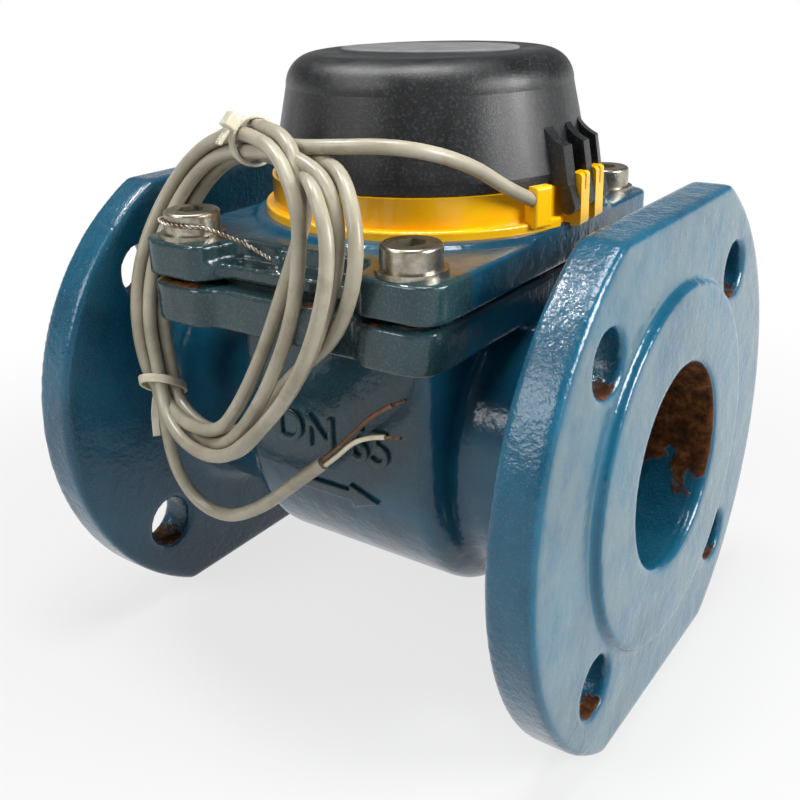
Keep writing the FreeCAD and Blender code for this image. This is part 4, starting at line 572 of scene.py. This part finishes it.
def cable_tie(name, span, head_turn, tilt, tail_mm):
    """tail_mm lists points from the head: outward, along the band and along the coil."""
    outward, front, run = loop_axes(span[0])
    spin = Matrix.Rotation(math.radians(head_turn), 3, run)
    own = Matrix((spin @ outward, spin @ front, run)).transposed()
    bm = bmesh.new()
    height = add_band(bm, own.inverted() @ front * math.tan(math.radians(tilt)))
    add_head(bm, height)
    start = Vector((TIE_INSIDE + TAIL_OUT, HEAD_SIZE / 2 - HEAD_EDGE, height))
    tail = tail_line([start] + [start + Vector(corner) / 1000 for corner in tail_mm])
    twist_per_step = 1 / TAIL_STEPS if tilt else 0.0
    sweep(bm, tail, STRAP, lambda i: ALONG_COIL.lerp(Vector((0, -1, 0)), i * twist_per_step))
    length = sum((there - here).length for here, there in zip(tail, tail[1:]))
    if not tilt:
        rows = teeth.grow("teeth", Count=int(length / TOOTH_PITCH), Pitch=TOOTH_PITCH, Tooth=TOOTH)
        rows.transform(Matrix.Translation(start + Vector((TIE_THICK / 2, TOOTH_START, 0))))
        bm.from_mesh(rows)
    middle = (LOOP[span[0]] + LOOP[span[1]]) / 2
    bmesh.ops.transform(bm, matrix=Matrix.Translation(middle) @ own.to_4x4(), verts=bm.verts)
    tie = piece(name, bm, nylon, smooth=False)
    print(name, "faces", len(tie.data.polygons), "tail", round(length * 1000, 1), "mm")
    return tie


upper_tie = cable_tie("upper_cable_tie", UPPER_TIE, 60, 0, [(0, 3, 0), (-0.2, 6, 0)])
lower_tie = cable_tie("lower_cable_tie", LOWER_TIE, -40, 22, [(0.6, 2.5, 0.2), (0.8, 4.5, -7), (0.2, 5, -15)])

# %% Cords ride on the meter
for thing, slot, replaced in ((cable, "cable_grey", ("cable_lead", "cable_coil", "cable_tail")),
                              (white_core, "core_white", ("white_core",)),
                              (brown_core, "core_brown", ("brown_core",)),
                              (copper_ends, "core_copper", ("core_ends",)),
                              (upper_tie, "tie_cream", ("upper_tie",)),
                              (lower_tie, "tie_cream", ("lower_tie",))):
    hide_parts(*replaced)
    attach(thing, "meter")

# %% [markdown]
# ## Painted cast iron
# The body is rough cast iron under thick, glossy blue paint. Wear painted by hand would fit one mesh only.
# This paint knows how far along the pipe, across it and above its axis it is, and its masks use that.

# %% Paint that knows its place
class CastPaint(Finish):
    def __init__(self, name):
        super().__init__(name, Specular_IOR_Level=0.25, Coat_Roughness=0.05)
        self.along = self.reckon("ABSOLUTE", self.axis("X", self.place))
        self.across = self.axis("Y", self.place)
        self.height = self.reckon("SUBTRACT", self.axis("Z", self.place), PIPE_AXIS)
        self.patch = self.noise(260, 6.0, 0.68)
        self.broad = self.noise(52, 4.0, 0.6)
        self.rough_cast = self.fade(self.along, 0.0950, 0.0968, 1.0, 0.25)


print("cast paint ready")

# %% [markdown]
# ## Rust
# Rust has come through in the upper bore, low in the bolt holes and along the seam under the cover, with a
# few freckles elsewhere. Each place is a mask with a soft edge, and patchy noise breaks the edge up.

# %% Where rust breaks through
BOLT_OFFSET = 0.1450 / 2 * math.sqrt(0.5)
COVER_SEAM = 0.0590


def bore_rust(paint):
    in_bore = paint.fade(paint.distance(paint.across, paint.height), 0.0330, 0.0346, 1.0, 0.0)
    wavering = paint.reckon("ADD", paint.height, paint.times(paint.broad, 0.060))
    return paint.times(in_bore, paint.fade(wavering, 0.004, 0.018))


def hole_rust(paint):
    hole_y = paint.reckon("SUBTRACT", paint.reckon("ABSOLUTE", paint.across), BOLT_OFFSET)
    hole_z = paint.reckon("SUBTRACT", paint.reckon("ABSOLUTE", paint.height), BOLT_OFFSET)
    in_hole = paint.fade(paint.distance(hole_y, hole_z), 0.0095, 0.0104, 1.0, 0.0)
    above = paint.times(hole_z, paint.reckon("SIGN", paint.height))
    wavering = paint.reckon("ADD", above, paint.times(paint.patch, 0.016))
    return paint.times(in_hole, paint.fade(wavering, -0.0022, 0.0034, 1.0, 0.0))


def seam_rust(paint):
    off_seam = paint.reckon("ABSOLUTE", paint.reckon("SUBTRACT", paint.height, COVER_SEAM))
    return paint.times(paint.fade(paint.broad, 0.48, 0.62), paint.fade(off_seam, 0.0006, 0.0022, 1.0, 0.0))


def rust_share(paint, first_place, second_place):
    places = paint.reckon("MAXIMUM", first_place, second_place)
    broken_up = paint.fade(paint.times(places, paint.reckon("ADD", paint.patch, 0.35)), 0.36, 0.66)
    freckles = paint.fade(paint.noise(150, 7.0, 0.72), 0.735, 0.790, 0.0, 0.85)
    return paint.reckon("MAXIMUM", broken_up, freckles)


print("bolt holes lie", round(BOLT_OFFSET * 1000, 2), "mm off the axis each way")

# %% [markdown]
# ## Blue coats
# The blue drifts between three tones; the body's are a darker copy of the flanges', as painted shade. Fine
# light flecks are painted sparkle on its rough skin. The front of the body is mixed to a darker, greyer green
# as painted shade and reflection, and the flanges' machined end faces are painted paler as a painted
# reflection. A face is told from a rim by its normal, which points along the pipe.

# %% Coats of blue
# The body's tones are darker than the flanges' on one casting in one paint: painted shade.
SHADED_BODY_TONES = ((0.0004, 0.044, 0.090), (0.0008, 0.072, 0.136), (0.0030, 0.102, 0.174))
FLANGE_TONES = ((0.0016, 0.058, 0.114), (0.0034, 0.092, 0.168), (0.0090, 0.126, 0.212))
PATCH_BLUE, SHADE_AND_SHEEN_GREEN = (0.030, 0.100, 0.135), (0.021, 0.035, 0.018)
SPARKLE_GREY, END_FACE_SHEEN = (0.125, 0.160, 0.165), (0.120, 0.180, 0.190)


def blue_coat(paint, tones):
    blue = paint.ramp(paint.noise(36, 4.0, 0.6), *zip((0.30, 0.52, 0.75), tones))
    return paint.mix(paint.fade(paint.patch, 0.50, 0.80, 0.0, 0.25), blue, PATCH_BLUE)


# Light flecks on the rough skin are painted sparkle: painted highlights on its grain.
def flecked(paint, blue, where=1.0):
    sparkle_share = paint.fade(paint.noise(1500, 4.0, 0.75), 0.50, 0.66, 0.0, 0.36)
    return paint.mix(paint.times(paint.times(sparkle_share, where), paint.rough_cast), blue, SPARKLE_GREY)


# The front is mixed to a darker, greyer green: painted shade and painted reflection on that side.
def aged_front(paint, blue):
    on_front = paint.fade(paint.across, -0.0560, -0.0535, 1.0, 0.15)
    return flecked(paint, paint.mix(paint.times(on_front, 0.68), blue, SHADE_AND_SHEEN_GREEN), on_front)


# The paler end faces are a painted reflection of bright light on the flanges' machined faces.
def chalky_faces(paint, blue):
    facing = paint.add("ShaderNodeNewGeometry")["Normal"]
    level_face = paint.fade(paint.reckon("ABSOLUTE", paint.axis("X", facing)), 0.90, 0.99)
    at_ends = paint.times(level_face, paint.fade(paint.along, 0.0940, 0.0960))
    return paint.mix(paint.times(at_ends, paint.fade(paint.broad, 0.30, 0.65, 0.20, 0.62)), blue, END_FACE_SHEEN)


print("blue from", SHADED_BODY_TONES[0], "to", FLANGE_TONES[-1])

# %% [markdown]
# ## Skin of the paint
# Thick paint on a sand casting is lumpy at three sizes: the casting's own waves, its coarse grain and the
# orange peel of the paint. The clear coat has a normal of its own in the shader and is fed the same bumps.
# Rust is rough, dull and stands a little proud.

# %% Body and flange paint
def finish_paint(paint, blue, rust, peel_share):
    iron = paint.ramp(paint.patch, (0.34, (0.016, 0.007, 0.002)), (0.50, (0.092, 0.030, 0.006)),
                      (0.70, (0.270, 0.105, 0.026)))
    paint.feed("Base Color", paint.mix(rust, blue, iron))
    paint.feed("Roughness", paint.fade(rust, 0.0, 1.0, 0.26, 0.88))
    paint.feed("Coat Weight", paint.fade(rust, 0.0, 1.0, 0.50, 0.0))
    paint.bump(paint.noise(95, 3.0, 0.55), 0.0011, 0.45)
    paint.bump(paint.times(paint.rough_cast, paint.noise(430, 3.0, 0.6)), 0.00040 * peel_share, 0.55)
    paint.bump(paint.times(paint.rough_cast, paint.noise(850, 3.0, 0.65)), 0.00022 * peel_share, 0.70)
    paint.bump(paint.times(rust, paint.patch), 0.0006, 0.8)
    paint.feed("Coat Normal", paint.normal)


body_paint = CastPaint("blue_body_paint")
body_blue = aged_front(body_paint, blue_coat(body_paint, SHADED_BODY_TONES))
body_rust = rust_share(body_paint, bore_rust(body_paint), seam_rust(body_paint))
finish_paint(body_paint, body_blue, body_rust, 0.45)
dress(body_paint, "meter_body", "body_deck", "cover_plate")

flange_paint = CastPaint("blue_flange_paint")
flange_blue = chalky_faces(flange_paint, flecked(flange_paint, blue_coat(flange_paint, FLANGE_TONES)))
flange_rust = rust_share(flange_paint, bore_rust(flange_paint), hole_rust(flange_paint))
finish_paint(flange_paint, flange_blue, flange_rust, 1.0)
dress(flange_paint, "inlet_flange", "outlet_flange")
print("paint of", len(flange_paint.tree.nodes), "nodes")

# %% [markdown]
# ## Soft edges of a sand casting
# On the real meter the flanges, the body and its deck are one casting with no sharp edge. Bevels are
# fragile on tessellated faces, so copies of the solids are joined, remeshed in small voxels and smoothed:
# that rounds every edge alike and hides the joints.

# %% Casting and cover as soft copies
FLANGE_BACK = 0.0785
CASTING_NODES = ("meter_body", "body_deck", "inlet_flange", "outlet_flange")


def settled(thing, **modifiers):
    """Plain mesh of an object under modifiers, each given as its type and its settings."""
    for kind, settings in modifiers.items():
        modifier = thing.modifiers.new(kind.lower(), kind)
        for key, value in settings.items():
            setattr(modifier, key, value)
    return frozen(thing)


def softened(thing, voxel, rounds):
    return settled(thing, REMESH={"mode": "VOXEL", "voxel_size": voxel},
                   SMOOTH={"factor": 0.5, "iterations": rounds}, TRIANGULATE={})


def soft_copy(name, nodes, voxel, rounds, triangles, *finishes):
    bm = bmesh.new()
    for node in nodes:
        bm.from_mesh(solids[node].data)
    joined = bpy.data.meshes.new(name)
    bm.to_mesh(joined)
    bm.free()
    rough = softened(linked(name, joined), voxel, rounds)
    found = len(rough.polygons)
    mesh = settled(linked(name, rough), DECIMATE={"ratio": min(1.0, triangles / found)})
    mesh.shade_smooth()
    mesh.materials.clear()
    for finish in finishes:
        mesh.materials.append(finish.material)
    print(name, "triangles", found, "thinned to", len(mesh.polygons))
    return linked(name, mesh)


casting = soft_copy("casting", CASTING_NODES, 0.0012, 5, 190000, body_paint, flange_paint)
on_flange = [int(abs(face.center.x) > FLANGE_BACK) for face in casting.data.polygons]
casting.data.polygons.foreach_set("material_index", on_flange)
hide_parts(*CASTING_NODES)
cover = soft_copy("cover_casting", ("cover_plate",), 0.0009, 4, 120000, body_paint)
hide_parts("cover_plate")
for thing in (casting, cover):
    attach(thing, "meter")

# %% [markdown]
# ## Plastics of the register
# The lid is black plastic with a pebbled skin and faint upright bands, and the ring that holds the register
# is glossy amber yellow. Bands come from noise stretched along Z, in the roughness and, as painted
# reflection, in the colour. Pebbles come from fine noise in the bump, with lighter specks in the colour as
# painted glints.

# %% Lid, ring and other plastics
black = Finish("lid_black")
upright = black.add("ShaderNodeMapping", {"Vector": black.place, "Scale": (85, 85, 4)})["Vector"]
# In the colour these upright bands are painted reflection; in the roughness they are the skin's own.
sheen_bands = black.noise(1.0, 3.0, 0.6, over=upright)
black_tone = black.ramp(sheen_bands, (0.35, (0.0035, 0.0035, 0.0040)), (0.70, (0.0090, 0.0090, 0.0095)))
# Lighter specks on the pebbles are painted glints.
pebble_glints = black.fade(black.noise(1000, 3.0, 0.7), 0.51, 0.64, 0.0, 0.70)
black.feed("Base Color", black.mix(pebble_glints, black_tone, (0.032, 0.042, 0.050)))
black.feed("Roughness", black.fade(sheen_bands, 0.35, 0.65, 0.34, 0.46))
black.bump(black.noise(2900), 0.00008, 0.90)
dress(black, "register_lid", "pulse_sensor", "hinge_pin")

yellow = mottled("ring_yellow", 60, 3.0, (0.94, 0.45, 0.001), (0.98, 0.54, 0.003), (700, 0.00004, 0.4),
                 Roughness=0.24, Specular_IOR_Level=0.35, Coat_Weight=0.25, Coat_Roughness=0.08)
dress(yellow, "retaining_ring")

MOULDED_GRAIN = (1500, 0.00004, 0.4)
moulded = mottled("insert_plastic", 80, 3.0, (0.035, 0.036, 0.040), (0.07, 0.07, 0.075), MOULDED_GRAIN,
                  Roughness=0.45)
dress(moulded, "insert_housing", "gear_housing", "hub_cover", "outlet_spider", "counter_frame",
      "register_input", "first_wheel", "second_wheel")
pale = mottled("rotor_plastic", 90, 3.0, (0.50, 0.49, 0.44), (0.64, 0.63, 0.58), MOULDED_GRAIN,
               Roughness=0.40)
dress(pale, "rotor", "worm_wheel")
rubber = mottled("seal_rubber", 300, 3.0, (0.012, 0.012, 0.012), (0.03, 0.03, 0.03), Roughness=0.75)
dress(rubber, "cover_gasket", "cup_seal", "window_gasket")
print("five plastics and rubbers")

# %% [markdown]
# ## Metals
# Screws and washers are plain steel that has yellowed a little; the register can and its rim are brass.
# Metals show mostly what they reflect, so their noise goes into roughness as much as into colour.

# %% Steel, brass, bronze and magnets
METALS = (
    ("bright_steel", (0.19, 0.155, 0.10), (0.43, 0.405, 0.345), 0.28,
     ("cover_screws", "cover_washers", "insert_screws", "rotor_shaft", "upright_shaft", "drum_axle")),
    ("worm_steel", (0.30, 0.30, 0.31), (0.52, 0.52, 0.53), 0.26, ("drive_worm",)),
    ("cup_brass", (0.42, 0.27, 0.09), (0.66, 0.47, 0.19), 0.30,
     ("pressure_cup", "register_can", "window_bezel")),
    ("bearing_bronze", (0.34, 0.20, 0.09), (0.52, 0.33, 0.16), 0.32,
     ("front_bearing", "rear_bearing", "foot_bearing", "head_bearing")),
    ("magnet", (0.05, 0.05, 0.055), (0.11, 0.11, 0.115), 0.45, ("drive_magnet", "follower_magnet")),
)
for name, dark, light, rough, nodes in METALS:
    metal = Finish(name, Metallic=1.0)
    stain = metal.noise(210, 5.0, 0.65)
    metal.feed("Base Color", metal.ramp(stain, (0.32, dark), (0.62, light)))
    metal.feed("Roughness", metal.fade(stain, 0.3, 0.7, rough + 0.16, rough - 0.04))
    metal.bump(metal.noise(1800), 0.00004, 0.4)
    dress(metal, *nodes)
print(len(METALS), "metals")

# %% [markdown]
# ## Window and dial
# Under the lid a clear window covers a white dial with red pointers and black number drums. The window is
# one glass shader with true refraction, since the solid has a real thickness.

# %% Glass, dial, pointers and drums
glass = Finish("window_glass", Base_Color=(0.93, 0.97, 0.96), Roughness=0.02, IOR=1.49,
               Transmission_Weight=1.0)
dress(glass, "register_window")
dial_white = mottled("dial_white", 120, 2.0, (0.76, 0.76, 0.73), (0.82, 0.82, 0.80), Roughness=0.45)
dress(dial_white, "dial_plate")
red = mottled("pointer_red", 200, 2.0, (0.50, 0.010, 0.008), (0.62, 0.020, 0.014), Roughness=0.35)
dress(red, "flow_star", "first_pointer", "second_pointer")
ink = mottled("drum_black", 200, 2.0, (0.010, 0.010, 0.011), (0.022, 0.022, 0.023), Roughness=0.50)
DRUMS = range(1, 7)
dress(ink, *["number_drum_%d" % drum for drum in DRUMS])
print("glass and dial finishes")

# %% [markdown]
# ## The twisted sealing wire
# A utility seals one cover screw with two thin wires twisted together. Geometry Nodes turns one route into
# both: each point moves sideways by an angle that grows along the route, half a turn on for the second.

# %% Wire tree
wire_metal = Finish("sealing_wire", Metallic=1.0, Roughness=0.42)
wire_stain = wire_metal.fade(wire_metal.noise(160, 3.0), 0.42, 0.60)
wire_metal.feed("Base Color", wire_metal.mix(wire_stain, (0.42, 0.40, 0.36), (0.20, 0.15, 0.10)))
wire_metal.bump(wire_metal.noise(2500), 0.00003, 0.4)

twist = Grower("twisted_pair", Lay="Float", Spread="Float", Wire="Float", Points="Int")
route = twist.add("GeometryNodeResampleCurve",
                  {"Curve": twist.given["Geometry"], "Count": twist.given["Points"]})[0]
side = twist.add("GeometryNodeInputNormal")[0]
forward = twist.add("GeometryNodeInputTangent")[0]
upward = twist.add("ShaderNodeVectorMath", {0: forward, 1: side}, operation="CROSS_PRODUCT")[0]
length_so_far = twist.add("GeometryNodeSplineParameter")["Length"]
turns_so_far = twist.reckon("DIVIDE", length_so_far, twist.given["Lay"])
rim = twist.add("GeometryNodeCurvePrimitiveCircle", {"Resolution": 7, "Radius": twist.given["Wire"]})[0]
both = twist.add("GeometryNodeJoinGeometry")[0]
for half in (0.0, 0.5):
    angle = twist.times(twist.reckon("ADD", turns_so_far, half), 2 * math.pi)
    parts = []
    for wave, direction in (("COSINE", side), ("SINE", upward)):
        reach = twist.times(twist.reckon(wave, angle), twist.given["Spread"])
        parts.append(twist.add("ShaderNodeVectorMath", {0: direction, "Scale": reach}, operation="SCALE")[0])
    shift = twist.add("ShaderNodeVectorMath", {0: parts[0], 1: parts[1]}, operation="ADD")[0]
    moved = twist.add("GeometryNodeSetPosition", {"Geometry": route, "Offset": shift})[0]
    tube = twist.add("GeometryNodeCurveToMesh", {"Curve": moved, "Profile Curve": rim, "Fill Caps": True})[0]
    twist.plug(both.node.inputs[0], tube)
twist.close(both, wire_metal)
print("wire tree of", len(twist.tree.nodes), "nodes")

# %% [markdown]
# ## The wire's route
# The wire comes out of the drilled screw head, passes round its front and runs down to a lug on the cover.
# The stretch round the head is written as angles on a circle, and the rest as points.

# %% Wire
SCREW_X, SCREW_Y, WIRE_Z = -42.5, -63.0, 77.3


def round_head(angle, reach, drop=0.0):
    turn = math.radians(angle)
    return SCREW_X + reach * math.cos(turn), SCREW_Y + reach * math.sin(turn), WIRE_Z - drop


WIRE_ROUTE = spots(round_head(-150, 6.2), round_head(-150, 9.2), round_head(-138, 10.3),
                   round_head(-115, 10.3), round_head(-90, 10.3, 0.2), round_head(-65, 10.3, 0.5),
                   round_head(-42, 10.3, 0.9), round_head(-22, 11.2, 1.4), (-27, -65.6, 74.2),
                   (-19, -63.4, 71.6), (-12, -61.9, 67.9), (-9.5, -61.8, 67.35), (-3, -61.8, 67.35))
wire_line = cord_curve("wire_line", WIRE_ROUTE, 0.0, wire_metal, smoothness=12)
wire_mesh = twist.grow("seal_wire_pair", wire_line, Lay=0.0034, Spread=0.00038, Wire=0.00037, Points=300)
wire_mesh.shade_smooth()
seal_pair = linked("seal_wire_pair", wire_mesh)
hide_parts("seal_wire")
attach(seal_pair, "meter")
print("wire faces", len(wire_mesh.polygons), "materials", [m.name for m in wire_mesh.materials])

# %% [markdown]
# ## Letters that follow a surface
# Cast marks, dial figures and drum figures are all type. A text object becomes a mesh first, and then each
# vertex is placed on the surface it belongs to, so the letters bend with a wall or a drum.

# %% Lettering helpers
def lettering(text, size, thickness, soft=0.0):
    curve = bpy.data.curves.new("type", "FONT")
    curve.body = text
    curve.size = size
    curve.align_x = "CENTER"
    curve.align_y = "CENTER"
    curve.extrude = thickness / 2
    curve.bevel_depth = soft
    curve.bevel_resolution = 2
    mesh = frozen(linked("type", curve))
    bpy.data.curves.remove(curve)
    return mesh


def add_bent(bm, mesh, bend):
    for vert in mesh.vertices:
        vert.co = bend(vert.co)
    bm.from_mesh(mesh)
    bpy.data.meshes.remove(mesh)


print("lettering helpers ready")

# %% [markdown]
# ## Marks cast into the body
# A size mark and a flow arrow, which any such meter carries, stand a millimetre proud of the front wall in
# the body's own paint. A ray from the front finds the wall under each vertex of a letter, so the relief is
# even where the wall turns away.

# %% Size mark and flow arrow
wall = BVHTree.FromPolygons([vert.co for vert in casting.data.vertices],
                            [face.vertices for face in casting.data.polygons])
IN_FRONT = -0.3
ARROW_SHAFT, ARROW_HEAD = 0.22, 0.36


def on_front_wall(middle_x, above_axis):
    def bend(place):
        seen_from = Vector((middle_x + place.x, IN_FRONT, PIPE_AXIS + above_axis + place.y))
        struck, facing = wall.ray_cast(seen_from, Vector((0, 1, 0)))[:2]
        return struck + Vector((0, facing.y, facing.z)).normalized() * place.z
    return bend


def arrow_mesh(length, width, thickness):
    tip, edge, shaft = length / 2, width / 2, width * ARROW_SHAFT
    neck = tip - length * ARROW_HEAD
    outline = [(-tip, -shaft), (neck, -shaft), (neck, -edge), (tip, 0),
               (neck, edge), (neck, shaft), (-tip, shaft)]
    bm = bmesh.new()
    face = bm.faces.new([bm.verts.new((x, y, -thickness / 2)) for x, y in outline])
    raised = bmesh.ops.extrude_face_region(bm, geom=[face])["geom"]
    lifted = [part for part in raised if isinstance(part, bmesh.types.BMVert)]
    bmesh.ops.translate(bm, vec=(0, 0, thickness), verts=lifted)
    mesh = bpy.data.meshes.new("arrow")
    bm.to_mesh(mesh)
    bm.free()
    return mesh


marks = bmesh.new()
add_bent(marks, lettering("DN 65", 0.0170, 0.0022, 0.0003), on_front_wall(0.004, 0.0085))
add_bent(marks, arrow_mesh(0.032, 0.0095, 0.0026), on_front_wall(0.006, -0.0110))
mark_mesh = softened(piece("cast_marks", marks, body_paint, smooth=False), 0.0004, 5)
mark_mesh.shade_smooth()
cast_marks = linked("cast_marks", mark_mesh)
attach(cast_marks, "meter")
print("cast marks faces", len(cast_marks.data.polygons))

# %% [markdown]
# ## A plain plate on the lid
# A low grey oval plate with a rounded edge sits on top of the lid and swings with it. It could be drawn as a
# patch of colour, but its edge catches the light, so it is a few closed rings of vertices that step inwards.

# %% Lid plate
grey = mottled("plate_grey", 140, 3.0, (0.13, 0.135, 0.14), (0.19, 0.195, 0.20), (2200, 0.00005, 0.5),
               Roughness=0.55)
REGISTER_X, REGISTER_Y, LID_TOP = 1.4, 9.5, 125.1
PLATE_LONG, PLATE_SHORT, PLATE_SIDES = 31.0, 19.0, 96
PLATE_EDGE = ((0.0, -0.3), (0.0, 0.5), (0.25, 0.82), (0.7, 0.95))
plate_middle = Vector((REGISTER_X, REGISTER_Y, LID_TOP))
plate_turn = Matrix.Rotation(math.radians(14), 3, "Z")
plate = bmesh.new()
rings = []
for shrink, lift in PLATE_EDGE:
    oval = [Vector((x * (PLATE_LONG - shrink), y * (PLATE_SHORT - shrink), lift))
            for x, y in round_section(1.0, PLATE_SIDES)]
    rings.append([plate.verts.new(spot(*(plate_middle + plate_turn @ corner))) for corner in oval])
join_rings(plate, rings)
plate.faces.new(rings[-1])
plate.faces.new(rings[0][::-1])
lid_plate = piece("lid_plate", plate, grey)
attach(lid_plate, "lid")
print("lid plate faces", len(lid_plate.data.polygons))

# %% [markdown]
# ## Print on the dial
# Under the lid is a dial with two small circles, each with ten long marks, fifty short ones and ten figures.
# The marks are one bar copied round a circle by Geometry Nodes and turned to face the middle.

# %% Dial marks
circles = Grower("ring_of_marks", Count="Int", Radius="Float", Bar="Vector")
circle = circles.add("GeometryNodeMeshCircle",
                     {"Vertices": circles.given["Count"], "Radius": circles.given["Radius"]})[0]
outward = circles.add("GeometryNodeInputPosition")[0]
facing = circles.add("FunctionNodeAlignRotationToVector", {"Vector": outward}, axis="X")[0]
bar = circles.add("GeometryNodeMeshCube", {"Size": circles.given["Bar"]})[0]
circles.close(circles.add("GeometryNodeInstanceOnPoints",
                          {"Points": circle, "Instance": bar, "Rotation": facing})[0], ink)

DIAL_TOP, DIAL_TURN, PRINT_THICK = 0.1824, math.radians(2.7), 0.00008
SMALL_DIALS = ((-0.01379, -0.00224), (0.00481, -0.00698))
LONG_MARKS = (10, 0.0086, (0.0013, 0.00045, PRINT_THICK))
SHORT_MARKS = (50, 0.0089, (0.0006, 0.00020, PRINT_THICK))
FIGURE_RING, FIGURE_SIZE = 0.0108, 0.0021
print_bm = bmesh.new()
for x, y in SMALL_DIALS:
    middle = Vector((x, y, DIAL_TOP))
    for count, reach, size in (LONG_MARKS, SHORT_MARKS):
        bars = circles.grow("bars", Count=count, Radius=reach, Bar=size)
        bars.transform(Matrix.Translation(middle) @ Matrix.Rotation(DIAL_TURN, 4, "Z"))
        print_bm.from_mesh(bars)
    for figure in range(10):
        angle = math.pi / 2 - 2 * math.pi * figure / 10 + DIAL_TURN
        at = middle + Vector((math.cos(angle), math.sin(angle), 0)) * FIGURE_RING
        add_bent(print_bm, lettering(str(figure), FIGURE_SIZE, PRINT_THICK), lambda co: at + co)
dial_print = piece("dial_print", print_bm, ink, smooth=False)
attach(dial_print, "meter")
print("dial print faces", len(dial_print.data.polygons))

# %% [markdown]
# ## Figures on the number drums
# Six drums carry the figures 0 to 9 round their rims, and each turns by itself. A picture wrapped round a
# drum would blur, so each figure is type that is bent onto the rim and rides on its drum's own body.

# %% Number drums
drum_white = mottled("drum_figures", 200, 2.0, (0.74, 0.74, 0.72), (0.82, 0.82, 0.80), Roughness=0.45)
DRUM_RADIUS, DRUM_FIGURE_SIZE = 0.0072, 0.0042


def on_drum(figure):
    def bend(co):
        angle = co.y / DRUM_RADIUS - 2 * math.pi * figure / 10
        reach = DRUM_RADIUS + co.z
        return Vector((co.x, reach * math.sin(angle), reach * math.cos(angle)))
    return bend


for drum in DRUMS:
    low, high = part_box("number_drum_%d" % drum)
    middle = (Vector(low) + Vector(high)) / 2
    bm = bmesh.new()
    for figure in range(10):
        add_bent(bm, lettering(str(figure), DRUM_FIGURE_SIZE, PRINT_THICK), on_drum(figure))
    set_in = Matrix.Translation(middle) @ Matrix.Rotation(DIAL_TURN, 4, "Z")
    bmesh.ops.transform(bm, matrix=set_in, verts=bm.verts)
    figures = piece("drum_figures_%d" % drum, bm, drum_white, smooth=False)
    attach(figures, "drum_%d" % drum)
print(len(DRUMS), "drums of ten figures")

# %% [markdown]
# ## White ground
# The picture shows the object on white. A white backdrop alone would leave it floating, so the floor is
# white paint that also glows for the camera, more with distance: it fades out and still shows a shadow.

# %% Floor
FLOOR_SIZE, GLOW_NEAR, GLOW_FAR, GLOW_AT_OBJECT = 60.0, 0.16, 0.42, 0.74
floor_bm = bmesh.new()
bmesh.ops.create_grid(floor_bm, x_segments=1, y_segments=1, size=FLOOR_SIZE)
ground = Finish("floor_white", Base_Color=(0.55, 0.55, 0.55), Roughness=0.9)
floor = piece("floor", floor_bm, ground, smooth=False)
away = ground.distance(ground.axis("X", ground.place), ground.axis("Y", ground.place))
rays = ground.add("ShaderNodeLightPath")
indirect = ground.reckon("MAXIMUM", rays["Is Glossy Ray"], rays["Is Transmission Ray"])
seen = ground.reckon("MAXIMUM", rays["Is Camera Ray"], indirect)
share = ground.times(ground.fade(away, GLOW_NEAR, GLOW_FAR, GLOW_AT_OBJECT, 1.0), seen)
glow = ground.add("ShaderNodeEmission", {"Strength": 1.0})[0]
blend = ground.add("ShaderNodeMixShader", {0: share, 1: ground.shader.outputs[0], 2: glow})[0]
ground.plug(ground.tree.nodes["Material Output"].inputs["Surface"], blend)
print("floor glows fully beyond", GLOW_FAR, "m")

# %% [markdown]
# ## The room that the paint reflects
# Glossy paint shows the room. An all-white room would wash it out, so reflections see white only near the
# horizon and a dark ceiling above, while the camera sees plain white and little of the sky's light falls on
# the object.

# %% Sky
SKY_FADES_AT, SKY_LIGHT = 0.22, 0.16
sky = bpy.data.worlds.new("studio")
sky.use_nodes = True
air = Nodes(sky.node_tree)
rays = air.add("ShaderNodeLightPath")
clear = air.reckon("MAXIMUM", rays["Is Camera Ray"], rays["Is Transmission Ray"])
climb = air.axis("Z", air.add("ShaderNodeTexCoord")["Generated"])
mirrored = air.times(air.fade(climb, 0.0, SKY_FADES_AT, 1.0, 0.0), rays["Is Glossy Ray"])
whiteness = air.reckon("MAXIMUM", clear, mirrored)
level = air.add("ShaderNodeMapRange", {"Value": whiteness, "To Min": SKY_LIGHT, "To Max": 1.0})["Result"]
backdrop = air.tree.nodes["Background"]
air.plug(backdrop.inputs["Color"], (1, 1, 1))
air.plug(backdrop.inputs["Strength"], level)
bpy.context.scene.world = sky
print("sky of", len(air.tree.nodes), "nodes")

# %% [markdown]
# ## Lights
# Light falls from above, from the right and softly from the front left, as in the picture. A fourth lamp is
# small and kept out of the diffuse light: only glossy paint shows it, as glints on the rims.

# %% Lights
LOOK_AT = Vector((0, 0, 0.1))


def soft_light(name, place, power, size):
    lamp = bpy.data.lights.new(name, "AREA")
    lamp.shape = "DISK"
    lamp.size = size
    lamp.energy = power
    light = linked(name, lamp)
    light.location = place
    light.rotation_euler = (LOOK_AT - Vector(place)).to_track_quat("-Z", "Y").to_euler()
    return light


lights = [soft_light("overhead", (0.05, -0.05, 1.10), 8.0, 0.4),
          soft_light("right_side", (1.00, 0.15, 0.55), 13.5, 0.5),
          soft_light("front_left", (-0.45, -0.95, 0.80), 6.5, 0.6),
          soft_light("glint", (-0.46, -0.16, 0.97), 6.0, 0.10)]
lights[-1].visible_diffuse = False
bpy.context.scene.view_settings.view_transform = "Standard"
print(len(lights), "lights")
